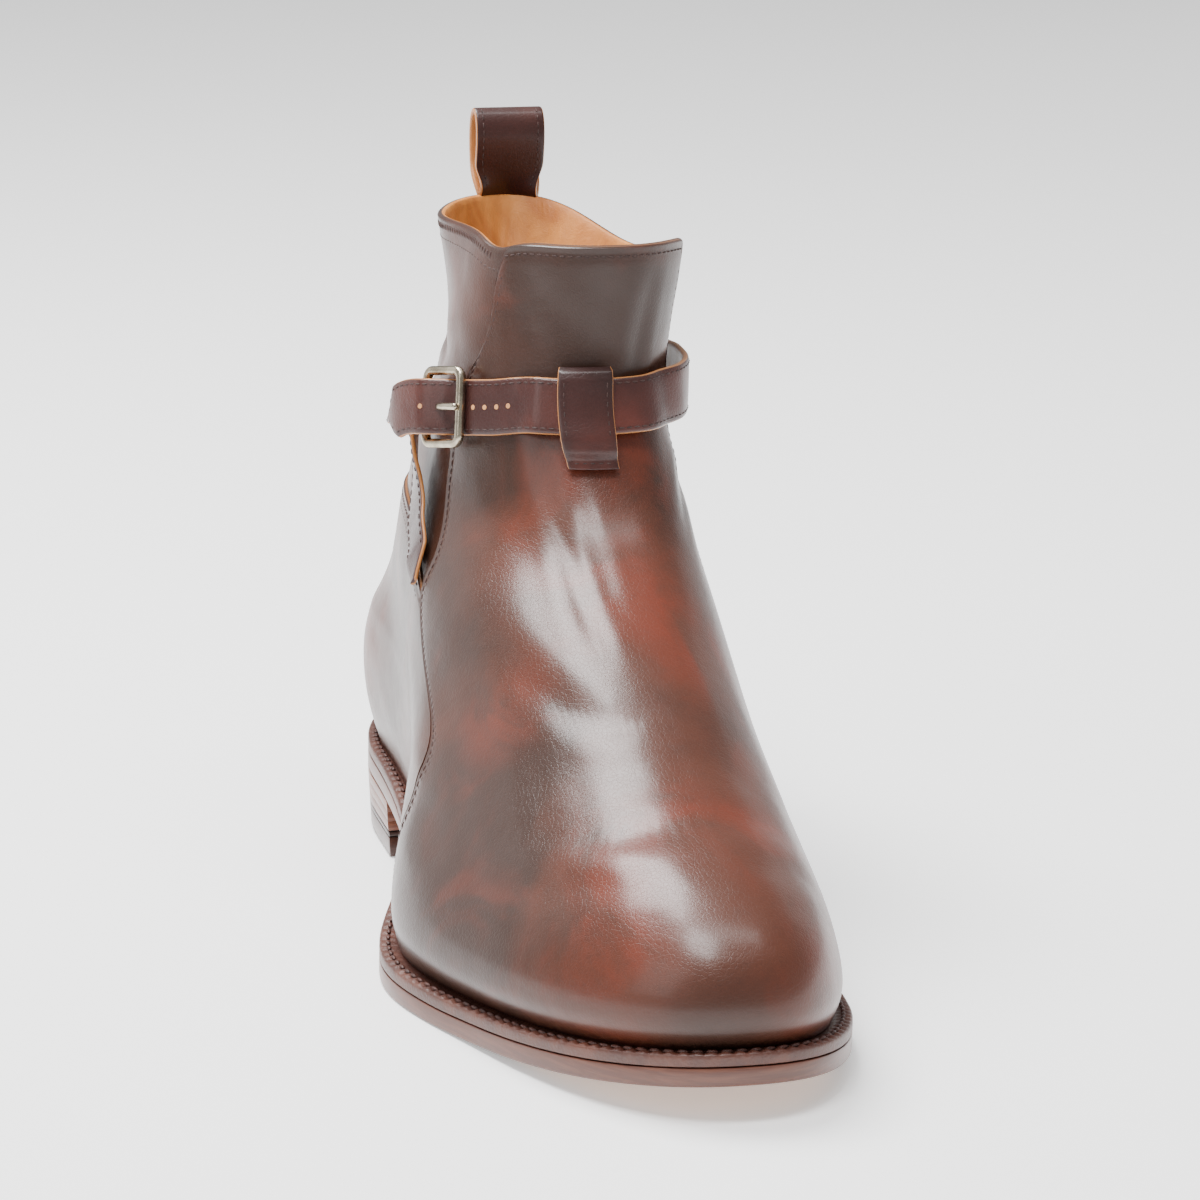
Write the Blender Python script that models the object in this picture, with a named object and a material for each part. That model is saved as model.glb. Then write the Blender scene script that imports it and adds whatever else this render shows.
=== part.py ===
"""Right jodhpur boot: welted sole, stacked heel, hollow upper, buckled ankle strap and pull loop.

Metres, +Z up. The toe points to -Y, the boot's inner side to +X. The origin is on the floor under
the middle of the heel's leather top piece. Places along the boot are given as a distance forward
from the back of the sole; u runs once round the upper from the heel's back past the outer side,
the toe and the inner side, and v climbs from one section of the table to the next.
"""
from collections import namedtuple

import bmesh
import bpy
import numpy as np

# Driving sizes
LENGTH = 0.284
BALL_WIDTH = 0.112
INSTEP_RISE = 0.080
LEG_WIDTH = 0.062
LEG_RISE = 0.168
LEG_LEAN = 0.114
LEAN_FROM = 0.040
HEEL_LENGTH = 0.074
HEEL_HEIGHT = 0.0172
TOE_SPRING = 0.0098
ORIGIN_AHEAD = 0.050

# Layers of the bottom
OUTSOLE = 0.0050
WAIST_BEVEL = 0.0022
WELT = 0.0034
WELT_MARGIN_HEEL = 0.0042
WELT_MARGIN_FORE = 0.0066
INSOLE_PROUD = 0.0020
INSOLE_ROOM = 0.0008
TOP_PIECE = 0.0058
DARK_LIFT = 0.0014
HEEL_TAPER = 0.0012
HEEL_NOTCH = 0.0085
BREAST_HOLLOW = 0.0022
RUBBER_REACH = 0.031

# Upper, straps and hardware
WALL = 0.0024
FLAP_STEP = 0.0012
FOX_STEP = 0.0010
STEP_RUN = 0.0006
STRAP_HEIGHT = 0.1432
STRAP_WIDTH = 0.0154
COLLAR_DIP = 0.0098
COLLAR_NOTCH = 0.0026
COLLAR_DIP_FROM = 7.4
STRAP_LEATHER = 0.0019
TAB_LEATHER = 0.0013
TAB_WIDTH = 0.0148
KEEPER_LEATHER = 0.0013
KEEPER_WIDTH = 0.0122
KEEPER_AHEAD = 0.0028
KEEPER_TOP = 0.0042
KEEPER_FOOT = 0.0075
BUCKLE_BAR = 0.0013
BUCKLE_HALF_LENGTH = 0.0076
BUCKLE_SIDE_ROOM = 0.0010
BUCKLE_FROM_FRONT = 0.0430
BUCKLE_DROP = 0.0052
BUCKLE_STAND_OFF = 0.0064
BUCKLE_OPEN = 0.150
BUCKLE_FALL = 0.190
BUCKLE_LEAN = 0.170
TAB_PLACE = 0.0672
PRONG_RADIUS = 0.0009
LOOP_WIDTH = 0.0205
LOOP_LEATHER = 0.0015
LOOP_HEIGHT = 0.0250
LOOP_DEPTH = 0.0092
GAP = 0.0003

# Underside of the outsole, as shares of LENGTH: the waist falls from heel height to the floor
WAIST_FROM = 0.218
TREAD_FROM = 0.620
TREAD_TO = 0.722
SEAT_RISE = 0.115
SPRING_POWER = 1.70

# Sections of the last, sole to collar. back and front are shares of LENGTH; the foot's rises are
# shares of INSTEP_RISE and its half widths of BALL_WIDTH, the leg's are shares of LEG_RISE and
# LEG_WIDTH. tail and nose are the shares of a section's length that its round ends take, and
# follow says how far its height follows the sole's curve.
Section = namedtuple("Section", (
    "zone back front rise_back rise_front swing heel waist_out waist_in ball_out ball_in "
    "fore_out fore_in toe_out toe_in tail nose follow"))
SECTIONS = (
    Section("foot", .021, .978, .000, .000, .168, .258, .286, .215, .475, .390,
            .410, .395, .375, .375, .17, .37, 1.0),
    Section("foot", .007, .996, .175, .112, .160, .290, .304, .250, .495, .415,
            .455, .415, .400, .390, .17, .36, 1.0),
    Section("foot", .004, .975, .340, .290, .160, .298, .308, .277, .469, .405,
            .427, .394, .366, .366, .18, .36, 1.0),
    Section("foot", .005, .908, .450, .480, .153, .283, .304, .295, .406, .382,
            .372, .368, .320, .330, .20, .37, .95),
    Section("foot", .013, .766, .600, .720, .132, .250, .300, .303, .353, .363,
            .332, .343, .295, .304, .24, .39, .80),
    Section("foot", .024, .624, .775, 1.00, .106, .246, .290, .295, .317, .340,
            .310, .320, .286, .286, .30, .42, .50),
    Section("leg", .040, .500, .477, .582, .210, .444, .492, .500, .508, .525,
            .510, .520, .484, .484, .38, .46, .20),
    Section("leg", .054, .437, .620, .703, .115, .411, .445, .484, .484, .486,
            .495, .495, .476, .476, .45, .48, .00),
    Section("leg", .060, .415, .745, .818, .080, .366, .390, .484, .477, .494,
            .505, .505, .490, .490, .50, .50, .00),
    Section("leg", .026, .416, .912, 1.00, .087, .450, .484, .484, .455, .516,
            .503, .525, .490, .505, .50, .50, .00),
)
TOP_SECTION = len(SECTIONS) - 1
WIDTH_KNOTS_OUT = (0.14, 0.40, 0.63, 0.80, 1.00)
WIDTH_KNOTS_IN = (0.14, 0.40, 0.68, 0.84, 1.00)
NOSE_POWER = 2.3

# Front edge of the quarter on each side of the foot: section number, place round the upper
SeamRow = namedtuple("SeamRow", "level outer inner")
SEAM = (
    SeamRow(0.0, .272, .716), SeamRow(1.8, .269, .714), SeamRow(3.0, .282, .700),
    SeamRow(3.8, .296, .686), SeamRow(4.3, .279, .694), SeamRow(4.8, .271, .698),
    SeamRow(5.4, .291, .674), SeamRow(6.3, .303, .655), SeamRow(7.7, .346, .643),
    SeamRow(8.3, .370, .634), SeamRow(9.0, .374, .630),
)
# Top edge of the heel foxing: share of the way from the back seam to the quarter's front edge
FoxRow = namedtuple("FoxRow", "way level")
FOX = (FoxRow(0.0, 5.85), FoxRow(0.45, 5.80), FoxRow(0.78, 5.55), FoxRow(0.93, 5.05), FoxRow(1.0, 4.80))

# Mesh fineness
BACK_COLUMNS = 12
FRONT_COLUMNS = 28
OUTER_ROWS_LOW = 13
OUTER_ROWS_HIGH = 12
INNER_ROWS = 14
SOLE_STATIONS = 36
HEEL_STATIONS = 12
SOLE_ACROSS = 4

# Paint: colour, roughness, metallic
Finish = namedtuple("Finish", "colour roughness metallic")
FINISHES = {
    "upper_leather": Finish((0.090, 0.028, 0.018), 0.28, 0.0),
    "strap_leather": Finish((0.075, 0.026, 0.018), 0.35, 0.0),
    "sole_edge": Finish((0.210, 0.065, 0.035), 0.35, 0.0),
    "welt_leather": Finish((0.150, 0.050, 0.030), 0.55, 0.0),
    "dark_lift": Finish((0.035, 0.016, 0.012), 0.45, 0.0),
    "top_leather": Finish((0.520, 0.290, 0.150), 0.60, 0.0),
    "rubber": Finish((0.030, 0.032, 0.034), 0.65, 0.0),
    "insole_leather": Finish((0.560, 0.340, 0.180), 0.65, 0.0),
    "brass": Finish((0.230, 0.150, 0.080), 0.30, 1.0),
}


# Curves through the tables
def through(knots, values, x):
    """Smooth curve through the values; they may be numbers or arrays shaped like x."""
    values = [np.asarray(value, float) + 0.0 * x for value in values]
    runs = np.diff(np.asarray(knots, float))
    rates = [(values[i + 1] - values[i]) / runs[i] for i in range(len(runs))]
    slopes = [rates[0] * 0.5]
    for i in range(len(runs) - 1):
        slopes.append((runs[i + 1] * rates[i] + runs[i] * rates[i + 1]) / (runs[i] + runs[i + 1]))
    slopes.append(rates[-1])
    result = values[0] + slopes[0] * (x - knots[0])
    for i, run in enumerate(runs):
        share = np.clip((x - knots[i]) / run, 0.0, 1.0)
        rising = share * share * (3.0 - 2.0 * share)
        piece = (values[i] * (1.0 - rising) + values[i + 1] * rising
                 + run * slopes[i] * share * (1.0 - share) ** 2
                 - run * slopes[i + 1] * share * share * (1.0 - share))
        result = np.where(x >= knots[i], piece, result)
    return result


def through_flat(knots, values, x):
    """Smooth curve that never overshoots, so equal neighbours give an exactly level run."""
    knots = np.asarray(knots, float)
    values = np.asarray(values, float)
    runs = np.diff(knots)
    rates = np.diff(values) / runs
    slopes = np.zeros(len(knots))
    slopes[0] = rates[0]
    slopes[-1] = rates[-1]
    for i in range(1, len(knots) - 1):
        if rates[i - 1] * rates[i] > 0.0:
            slopes[i] = 2.0 * rates[i - 1] * rates[i] / (rates[i - 1] + rates[i])
    i = np.clip(np.searchsorted(knots, x) - 1, 0, len(runs) - 1)
    share = np.clip((x - knots[i]) / runs[i], 0.0, 1.0)
    rising = share * share * (3.0 - 2.0 * share)
    return (values[i] * (1.0 - rising) + values[i + 1] * rising
            + runs[i] * slopes[i] * share * (1.0 - share) ** 2
            - runs[i] * slopes[i + 1] * share * share * (1.0 - share))


def ground(ahead):
    """Height of the outsole's underside above the floor."""
    ahead = np.asarray(ahead, float)
    fall = np.clip((ahead / LENGTH - WAIST_FROM) / (TREAD_FROM - WAIST_FROM), 0.0, 1.0)
    heel = HEEL_HEIGHT * (1.0 + SEAT_RISE * np.clip(1.0 - ahead / HEEL_LENGTH, 0.0, None))
    spring = np.clip((ahead / LENGTH - TREAD_TO) / (1.0 - TREAD_TO), 0.0, None) ** SPRING_POWER
    return heel * (1.0 - fall * fall * (3.0 - 2.0 * fall)) + TOE_SPRING * spring


def seat(ahead):
    """Height of the line where the upper meets the welt."""
    return ground(ahead) + OUTSOLE + WELT + 2.0 * GAP


# The last
def section_column(name):
    """One column of the section table, in metres where it is a length."""
    column = []
    for section in SECTIONS:
        value = getattr(section, name)
        if name in ("back", "front"):
            value *= LENGTH
        elif name in ("rise_back", "rise_front"):
            value *= INSTEP_RISE if section.zone == "foot" else LEG_RISE
        elif name not in ("tail", "nose", "follow"):
            value *= BALL_WIDTH if section.zone == "foot" else LEG_WIDTH
        column.append(value)
    return column


COLUMNS = {name: section_column(name) for name in Section._fields if name != "zone"}


def round_ends(t, tail, nose):
    """Share of the full width that the rounded heel and toe leave at t."""
    behind = np.clip(1.0 - t / tail, 0.0, 1.0)
    ahead = np.clip((t - 1.0 + nose) / nose, 0.0, 1.0)
    return np.sqrt(1.0 - behind ** 2) * (1.0 - ahead ** NOSE_POWER) ** (1.0 / NOSE_POWER)


def last_point(u, v):
    """Points on the last's surface, one row of x, y, z for each u and v."""
    u = np.mod(np.asarray(u, float), 1.0)
    v = np.asarray(v, float) + 0.0 * u
    levels = np.arange(len(SECTIONS))
    row = {name: through(levels, column, v) for name, column in COLUMNS.items()}
    outer = u <= 0.5
    turn = np.where(outer, u, 1.0 - u) * 2.0 * np.pi
    t = (1.0 - np.cos(turn)) / 2.0
    out = through(WIDTH_KNOTS_OUT, [row[n] for n in ("heel", "waist_out", "ball_out", "fore_out", "toe_out")], t)
    inn = through(WIDTH_KNOTS_IN, [row[n] for n in ("heel", "waist_in", "ball_in", "fore_in", "toe_in")], t)
    half = np.where(outer, -out, inn) * round_ends(t, row["tail"], row["nose"])
    ahead = row["back"] + (row["front"] - row["back"]) * t
    middle = (row["rise_back"] + row["rise_front"]) / 2.0
    x = row["swing"] * t * t + half + LEG_LEAN * np.clip(middle - LEAN_FROM, 0.0, None)
    rise = row["rise_back"] + (row["rise_front"] - row["rise_back"]) * t
    level = seat(row["back"]) + (seat(row["front"]) - seat(row["back"])) * t
    z = rise + row["follow"] * seat(ahead) + (1.0 - row["follow"]) * level
    high = np.clip((v - COLLAR_DIP_FROM) / (TOP_SECTION - COLLAR_DIP_FROM), 0.0, 1.0)
    dip = COLLAR_DIP * np.exp(-((u - 0.785) / 0.100) ** 2) + COLLAR_NOTCH * np.exp(-((u - 0.362) / 0.028) ** 2)
    z = z - dip * high * high * (3.0 - 2.0 * high)
    return np.stack([x, ORIGIN_AHEAD - ahead, z], axis=-1)


def last_normal(u, v, du=0.002, dv=0.02):
    """Outward unit normals of the last; level at the sole so that the wall stands on the welt."""
    low = np.clip(v - dv, 0.0, TOP_SECTION)
    high = np.clip(v + dv, 0.0, TOP_SECTION)
    along = last_point(u + du, v) - last_point(u - du, v)
    up = last_point(u, high) - last_point(u, low)
    normal = np.cross(along, up)
    normal[..., 2] *= np.clip(v, 0.0, 1.0) * np.clip(TOP_SECTION - v, 0.0, 1.0)
    return normal / np.linalg.norm(normal, axis=-1, keepdims=True)


# Outline of the sole
class Outline:
    """The feather line moved outwards by a margin, read as inner and outer edge at any place."""

    def __init__(self, margin_heel, margin_fore):
        u = np.linspace(0.0, 1.0, 721)
        line = last_point(u, 0.0 * u)
        normal = last_normal(u, 0.0 * u)
        share = np.clip((ORIGIN_AHEAD - line[:, 1]) / LENGTH / 0.5 - 0.3, 0.0, 1.0)
        margin = margin_heel + (margin_fore - margin_heel) * share
        x = line[:, 0] + normal[:, 0] * margin
        ahead = ORIGIN_AHEAD - line[:, 1] - normal[:, 1] * margin
        half = len(u) // 2
        self.out_ahead = np.maximum.accumulate(ahead[:half + 1])
        self.out_x = x[:half + 1]
        self.in_ahead = np.maximum.accumulate(ahead[half:][::-1])
        self.in_x = x[half:][::-1]
        self.back = ahead[0]
        self.front = ahead[half]

    def edges(self, ahead):
        """Outer and inner edge, as x."""
        return (np.interp(ahead, self.out_ahead, self.out_x), np.interp(ahead, self.in_ahead, self.in_x))


# Solids
def loft(name, loops, finish, ring=False, edges=()):
    """One closed solid from a Blender grid: each grid row goes to one loop of points."""
    loops = np.asarray(loops)
    if ring:
        loops = np.concatenate([loops, loops[:1]])
    rows, around = loops.shape[:2]
    shape = bmesh.new()
    bmesh.ops.create_grid(shape, x_segments=around, y_segments=rows - 1, size=0.5)
    for vertex in shape.verts:
        column = round((vertex.co.x + 0.5) * around) % around
        row = round((vertex.co.y + 0.5) * (rows - 1))
        vertex.co = loops[row][column]
    bmesh.ops.remove_doubles(shape, verts=shape.verts, dist=2e-6)
    bmesh.ops.dissolve_degenerate(shape, edges=shape.edges, dist=2e-6)
    bmesh.ops.recalc_face_normals(shape, faces=shape.faces)
    for face in shape.faces:
        face.smooth = True
    sharp = np.radians(35.0)
    for edge in shape.edges:
        edge.smooth = not (edge.is_manifold and edge.calc_face_angle(0.0) > sharp)
    mesh = bpy.data.meshes.new(name)
    shape.to_mesh(mesh)
    shape.free()
    mesh.materials.append(material(finish))
    thing = bpy.data.objects.new(name, mesh)
    bpy.context.scene.collection.objects.link(thing)
    return thing


def material(name):
    """The named Principled material, made once."""
    if name in bpy.data.materials:
        return bpy.data.materials[name]
    made = bpy.data.materials.new(name)
    made.use_nodes = True
    shader = made.node_tree.nodes["Principled BSDF"]
    finish = FINISHES[name]
    shader.inputs["Base Color"].default_value = (*finish.colour, 1.0)
    shader.inputs["Roughness"].default_value = finish.roughness
    shader.inputs["Metallic"].default_value = finish.metallic
    return made


def closed_ends(loops, first, last):
    """Adds a row folded flat onto its middle line at each end that is to be closed."""
    loops = list(loops)

    def fold(loop):
        return (loop + loop[::-1]) / 2.0

    if first:
        loops.insert(0, fold(loops[0]))
    if last:
        loops.append(fold(loops[-1]))
    return np.array(loops)


def plate(name, outline, start, stop, under, over, finish, hollow=0.0, notch=0.0, taper=None):
    """A layer of the bottom between two places along the boot, from under(ahead, w) to over."""
    turn = np.linspace(0.0, np.pi, (SOLE_STATIONS if taper is None else HEEL_STATIONS) + 1)
    stations = start + (stop - start) * (1.0 - np.cos(turn)) / 2.0
    across = np.linspace(-1.0, 1.0, SOLE_ACROSS + 1)
    loops = []
    for share, ahead in zip(np.linspace(0.0, 1.0, len(stations)), stations):
        place = ahead - hollow * (1.0 - across ** 2) * share ** 4
        left, right = outline.edges(place)
        cut = np.clip(ahead - (stop - notch), 0.0, None) * np.clip((across + 1.0) / 2.0, 0.0, 1.0)
        x = left + (right - left) * (across + 1.0) / 2.0 - cut
        low = np.stack([x, ORIGIN_AHEAD - place, under(place, across)], axis=-1)
        high = np.stack([x, ORIGIN_AHEAD - place, over(place, across)], axis=-1)
        if taper is not None:
            middle = (left + right) / 2.0
            low[:, 0] = middle + (x - middle) * (1.0 - taper(low[:, 2]))
            high[:, 0] = middle + (x - middle) * (1.0 - taper(high[:, 2]))
        loops.append(np.concatenate([low, high[::-1]]))
    pole_first = abs(start - outline.back) < 1e-6
    pole_last = abs(stop - outline.front) < 1e-6
    return loft(name, closed_ends(loops, not pole_first, not pole_last), finish)


def bottom():
    """Outsole, welt, insole and the heel's layers."""
    rand = Outline(WELT_MARGIN_HEEL, WELT_MARGIN_FORE)

    def underside(ahead, w):
        waist = np.clip(1.0 - np.abs(ahead / LENGTH - 0.42) / 0.16, 0.0, 1.0)
        return ground(ahead) + WAIST_BEVEL * waist * waist * (3.0 - 2.0 * waist) * np.abs(w) ** 3

    plate("outsole", rand, rand.back, rand.front, underside, lambda a, w: ground(a) + OUTSOLE, "sole_edge")
    welt(rand)
    inside = Outline(-WALL - INSOLE_ROOM, -WALL - INSOLE_ROOM)
    plate("insole", inside, inside.back, inside.front,
          lambda a, w: ground(a) + OUTSOLE + GAP,
          lambda a, w: seat(a) + INSOLE_PROUD, "insole_leather")

    def taper(z):
        return HEEL_TAPER * 2.0 / 0.07 * np.clip(1.0 - z / HEEL_HEIGHT, 0.0, 1.0)

    lift_top = TOP_PIECE + GAP + DARK_LIFT
    front = HEEL_LENGTH
    plate("heel_stack", rand, rand.back, front, lambda a, w: lift_top + GAP + 0.0 * a,
          lambda a, w: ground(a) - GAP, "sole_edge", BREAST_HOLLOW, 0.0, taper)
    plate("heel_dark_lift", rand, rand.back, front, lambda a, w: TOP_PIECE + GAP + 0.0 * a,
          lambda a, w: lift_top + 0.0 * a, "dark_lift", BREAST_HOLLOW, HEEL_NOTCH, taper)
    plate("heel_top_leather", rand, RUBBER_REACH + GAP, front, lambda a, w: 0.0 * a,
          lambda a, w: TOP_PIECE + 0.0 * a, "top_leather", BREAST_HOLLOW, HEEL_NOTCH, taper)
    plate("heel_top_rubber", rand, rand.back, RUBBER_REACH, lambda a, w: 0.0 * a,
          lambda a, w: TOP_PIECE + 0.0 * a, "rubber", 0.0, 0.0, taper)


def welt(rand):
    """Ring of leather between outsole and upper, all the way round the seat."""
    inside = Outline(-WALL, -WALL)
    turn = np.linspace(0.0, 2.0 * np.pi, 2 * SOLE_STATIONS + 1)[:-1]
    share = (1.0 - np.cos(turn)) / 2.0
    outer_side = turn <= np.pi
    edges = []
    for outline in (rand, inside):
        ahead = outline.back + (outline.front - outline.back) * share
        left, right = outline.edges(ahead)
        edges.append((np.where(outer_side, left, right), ahead))
    (wide_x, wide_ahead), (slim_x, slim_ahead) = edges
    corners = []
    for x, ahead, lift in ((wide_x, wide_ahead, GAP), (wide_x, wide_ahead, GAP + WELT),
                           (slim_x, slim_ahead, GAP + WELT), (slim_x, slim_ahead, GAP)):
        corners.append(np.stack([x, ORIGIN_AHEAD - ahead, ground(ahead) + OUTSOLE + lift], axis=-1))
    loft("welt", np.stack(corners, axis=1), "welt_leather", ring=True)


# The upper
def seam_places(v):
    """Where the front panel's edges lie round the upper, outer side then inner side."""
    levels = [row.level for row in SEAM]
    return (through(levels, [row.outer for row in SEAM], v), through(levels, [row.inner for row in SEAM], v))


def fox_level(way):
    """Level of the heel foxing's top edge between the back seam and the quarter's front edge."""
    return through([row.way for row in FOX], [row.level for row in FOX], way)


def upper_grid():
    """u, v and the raised step for each outer column and row, with paired lines at each step."""
    back = np.linspace(0.0, 1.0, BACK_COLUMNS + 1)
    front = np.linspace(0.0, 1.0, FRONT_COLUMNS + 1)
    columns = [("outer", share) for share in back] + [("front", share) for share in front]
    columns += [("inner", share) for share in back[:-1]]
    low = np.linspace(0.0, 1.0, OUTER_ROWS_LOW + 1)
    high = np.linspace(0.0, 1.0, OUTER_ROWS_HIGH + 1)
    grid = []
    for zone, share in columns:
        way = {"outer": share, "inner": 1.0 - share, "front": 1.0}[zone]
        line = float(fox_level(np.array(way)))
        run = 0.02 if zone != "front" else 0.02
        v = np.concatenate([(line - run) * low, line + run + (TOP_SECTION - line - run) * high])
        outer, inner = seam_places(v)
        slack = STEP_RUN / 0.30
        if zone == "outer":
            u = (outer - slack / 2.0) * share
            step = np.where(v < line, FOX_STEP, 0.0)
        elif zone == "inner":
            u = inner + slack / 2.0 + (1.0 - inner - slack / 2.0) * share
            step = np.where(v < line, FOX_STEP, 0.0)
        else:
            first = outer + slack / 2.0
            u = first + (inner - slack / 2.0 - first) * share
            step = FLAP_STEP + 0.0 * v
        grid.append((u, v, step + 0.0 * v))
    return [np.array(part) for part in zip(*grid)]


def upper():
    """One hollow shell: outside up to the collar, over its edge and down the inside."""
    u, v, step = upper_grid()
    outside = last_point(u, v) + last_normal(u, v) * step[..., None]
    outside[:, 0, 2] = seat(ORIGIN_AHEAD - outside[:, 0, 1])
    inner_v = np.linspace(TOP_SECTION, 0.0, INNER_ROWS)
    inner_u = u[:, np.linspace(u.shape[1] - 1, 0, INNER_ROWS).round().astype(int)]
    inner_v = inner_v + 0.0 * inner_u
    inside = last_point(inner_u, inner_v) - last_normal(inner_u, inner_v) * WALL
    inside[:, -1, 2] = seat(ORIGIN_AHEAD - inside[:, -1, 1])
    loft("upper", np.concatenate([outside, inside], axis=1), "upper_leather", ring=True)


# Places on the leg, for the straps
class Leg:
    """The leg's outside as distance round from its front, height and lift off the leather."""

    def __init__(self):
        self.levels = np.linspace(3.0, TOP_SECTION, 121)
        u = np.linspace(0.0, 1.0, 361)
        ring = self.at(u, STRAP_HEIGHT)
        steps = np.linalg.norm(np.diff(ring[:, :2], axis=0), axis=1)
        round_from_back = np.concatenate([[0.0], np.cumsum(steps)])
        self.round = np.interp(0.5, u, round_from_back) - round_from_back
        self.u = u

    def at(self, u, z):
        """Point of the last at a place round the leg and a height."""
        u = np.atleast_1d(np.asarray(u, float))
        z = np.asarray(z, float) + 0.0 * u
        points = []
        for place, height in zip(u, z):
            column = last_point(np.full_like(self.levels, place), self.levels)
            points.append([np.interp(height, column[:, 2], column[:, axis]) for axis in (0, 1)] + [height])
        return np.array(points)

    def place(self, distance, z, lift):
        """Points lift off the skin, distance round from the front, positive to the outer side."""
        u = np.interp(-np.asarray(distance, float), -self.round, self.u)
        here = self.at(u, z)
        ahead = self.at(u + 0.004, z)
        behind = self.at(u - 0.004, z)
        along = (behind - ahead) * (1.0, 1.0, 0.0)
        along /= np.linalg.norm(along, axis=-1, keepdims=True)
        out = np.cross(along, (0.0, 0.0, 1.0))
        out *= np.sign((out * (here - (0.012, -0.02, 0.0))).sum(-1))[:, None]
        return here + out * np.reshape(lift, (-1, 1)), along, out


def spline(points, steps):
    """Smooth run through rows of numbers, evenly placed along their first three columns."""
    points = np.asarray(points, float)
    knots = np.concatenate([[0.0], np.cumsum(np.linalg.norm(np.diff(points[:, :3], axis=0), axis=1))])
    x = np.linspace(0.0, knots[-1], steps + 1)
    return np.stack([through(knots, list(points[:, k]), x) for k in range(points.shape[1])], axis=-1)


def ribbon(name, path, up, half_width, leather, finish):
    """A flat strap along a path: closed ends, width along up, leather thick."""
    along = np.gradient(path, axis=0)
    along /= np.linalg.norm(along, axis=-1, keepdims=True)
    up = up - along * (up * along).sum(-1, keepdims=True)
    up /= np.linalg.norm(up, axis=-1, keepdims=True)
    face = np.cross(along, up)
    sides = (-1.0, -0.33, 0.33, 1.0)
    loops = []
    for point, wide, out, half in zip(path, up, face, half_width):
        under = [point + wide * half * side - out * leather / 2.0 for side in sides]
        over = [point + wide * half * side + out * leather / 2.0 for side in sides]
        loops.append(np.array(under + over[::-1]))
    return loft(name, closed_ends(loops, True, True), finish)


SKIN = FLAP_STEP + GAP
UNDER_BAR = -BUCKLE_BAR - GAP - STRAP_LEATHER / 2.0 - 0.0001
OVER_BAR = BUCKLE_BAR + 2.0 * GAP + TAB_LEATHER + STRAP_LEATHER / 2.0 + 0.0002
IN_KEEPER = SKIN + KEEPER_LEATHER + GAP + STRAP_LEATHER / 2.0 + 0.0009


class BuckleFrame:
    """Axes of the rigid buckle: back along the strap, up, and out from the leg."""

    def __init__(self, leg):
        centre, along, out = leg.place([BUCKLE_FROM_FRONT], STRAP_HEIGHT - BUCKLE_DROP, [BUCKLE_STAND_OFF])
        self.centre = centre[0]
        self.back = along[0] + out[0] * BUCKLE_OPEN - np.array((0.0, 0.0, BUCKLE_FALL))
        self.back /= np.linalg.norm(self.back)
        self.up = np.array((0.0, 0.0, 1.0)) - out[0] * BUCKLE_LEAN
        self.up -= self.back * self.up.dot(self.back)
        self.up /= np.linalg.norm(self.up)
        self.out = np.cross(self.back, self.up)
        self.out *= np.sign(self.out.dot(out[0]))

    def point(self, back, out, up=0.0):
        """A point given along the buckle's axes from its middle."""
        back, out, up = (np.reshape(value, (-1, 1)) for value in (back, out, up))
        return self.centre + self.back * back + self.out * out + self.up * up


# A strap's run over the leg: distance round, height and lift off the skin of its middle, the
# direction of its width as parts along the leg and upwards, and its half width
StrapRow = namedtuple("StrapRow", "distance height lift wide_along wide_up half")


def over_leg(leg, rows, steps, twist=()):
    """Middle line, width direction and half width of a strap laid over the leg."""
    run = np.array(rows)
    knots = np.concatenate([[0.0], np.cumsum(np.linalg.norm(np.diff(run[:, :2], axis=0), axis=1))])
    x = np.linspace(0.0, knots[-1], steps + 1)
    run = np.stack([through_flat(knots, run[:, k], x) for k in range(run.shape[1])], axis=-1)
    points, along, out = leg.place(run[:, 0], run[:, 1], run[:, 2])
    reach = 0.006
    above, _, _ = leg.place(run[:, 0], run[:, 1] + reach, run[:, 2])
    below, _, _ = leg.place(run[:, 0], run[:, 1] - reach, run[:, 2])
    slope = (above - below) / (2.0 * reach)
    slope -= along * (slope * along).sum(-1, keepdims=True)
    wide = along * run[:, 3:4] + slope * run[:, 4:5]
    if len(twist):
        wide = wide - out * through_flat(knots, np.array(twist), x)[:, None]
    return np.concatenate([points, wide, run[:, 5:6]], axis=1)


def over_buckle(frame, back, out, half):
    """The same columns for a run given in the buckle's own axes."""
    points = frame.point(back, out)
    return np.concatenate([points, np.tile(frame.up, (len(points), 1)), np.full((len(points), 1), half)], axis=1)


def turn_rows(corner, height, radius, lift, half, side):
    """Quarter turn from upright to level; side is 1 on the outer side of the leg, -1 on the inner."""
    rows = []
    for angle in np.linspace(0.0, np.pi / 2.0, 7):
        rows.append(StrapRow(side * (corner - radius * (1.0 - np.cos(angle))),
                             height - radius * (1.0 - np.sin(angle)), lift,
                             side * np.cos(angle), np.sin(angle), half))
    return rows


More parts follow.
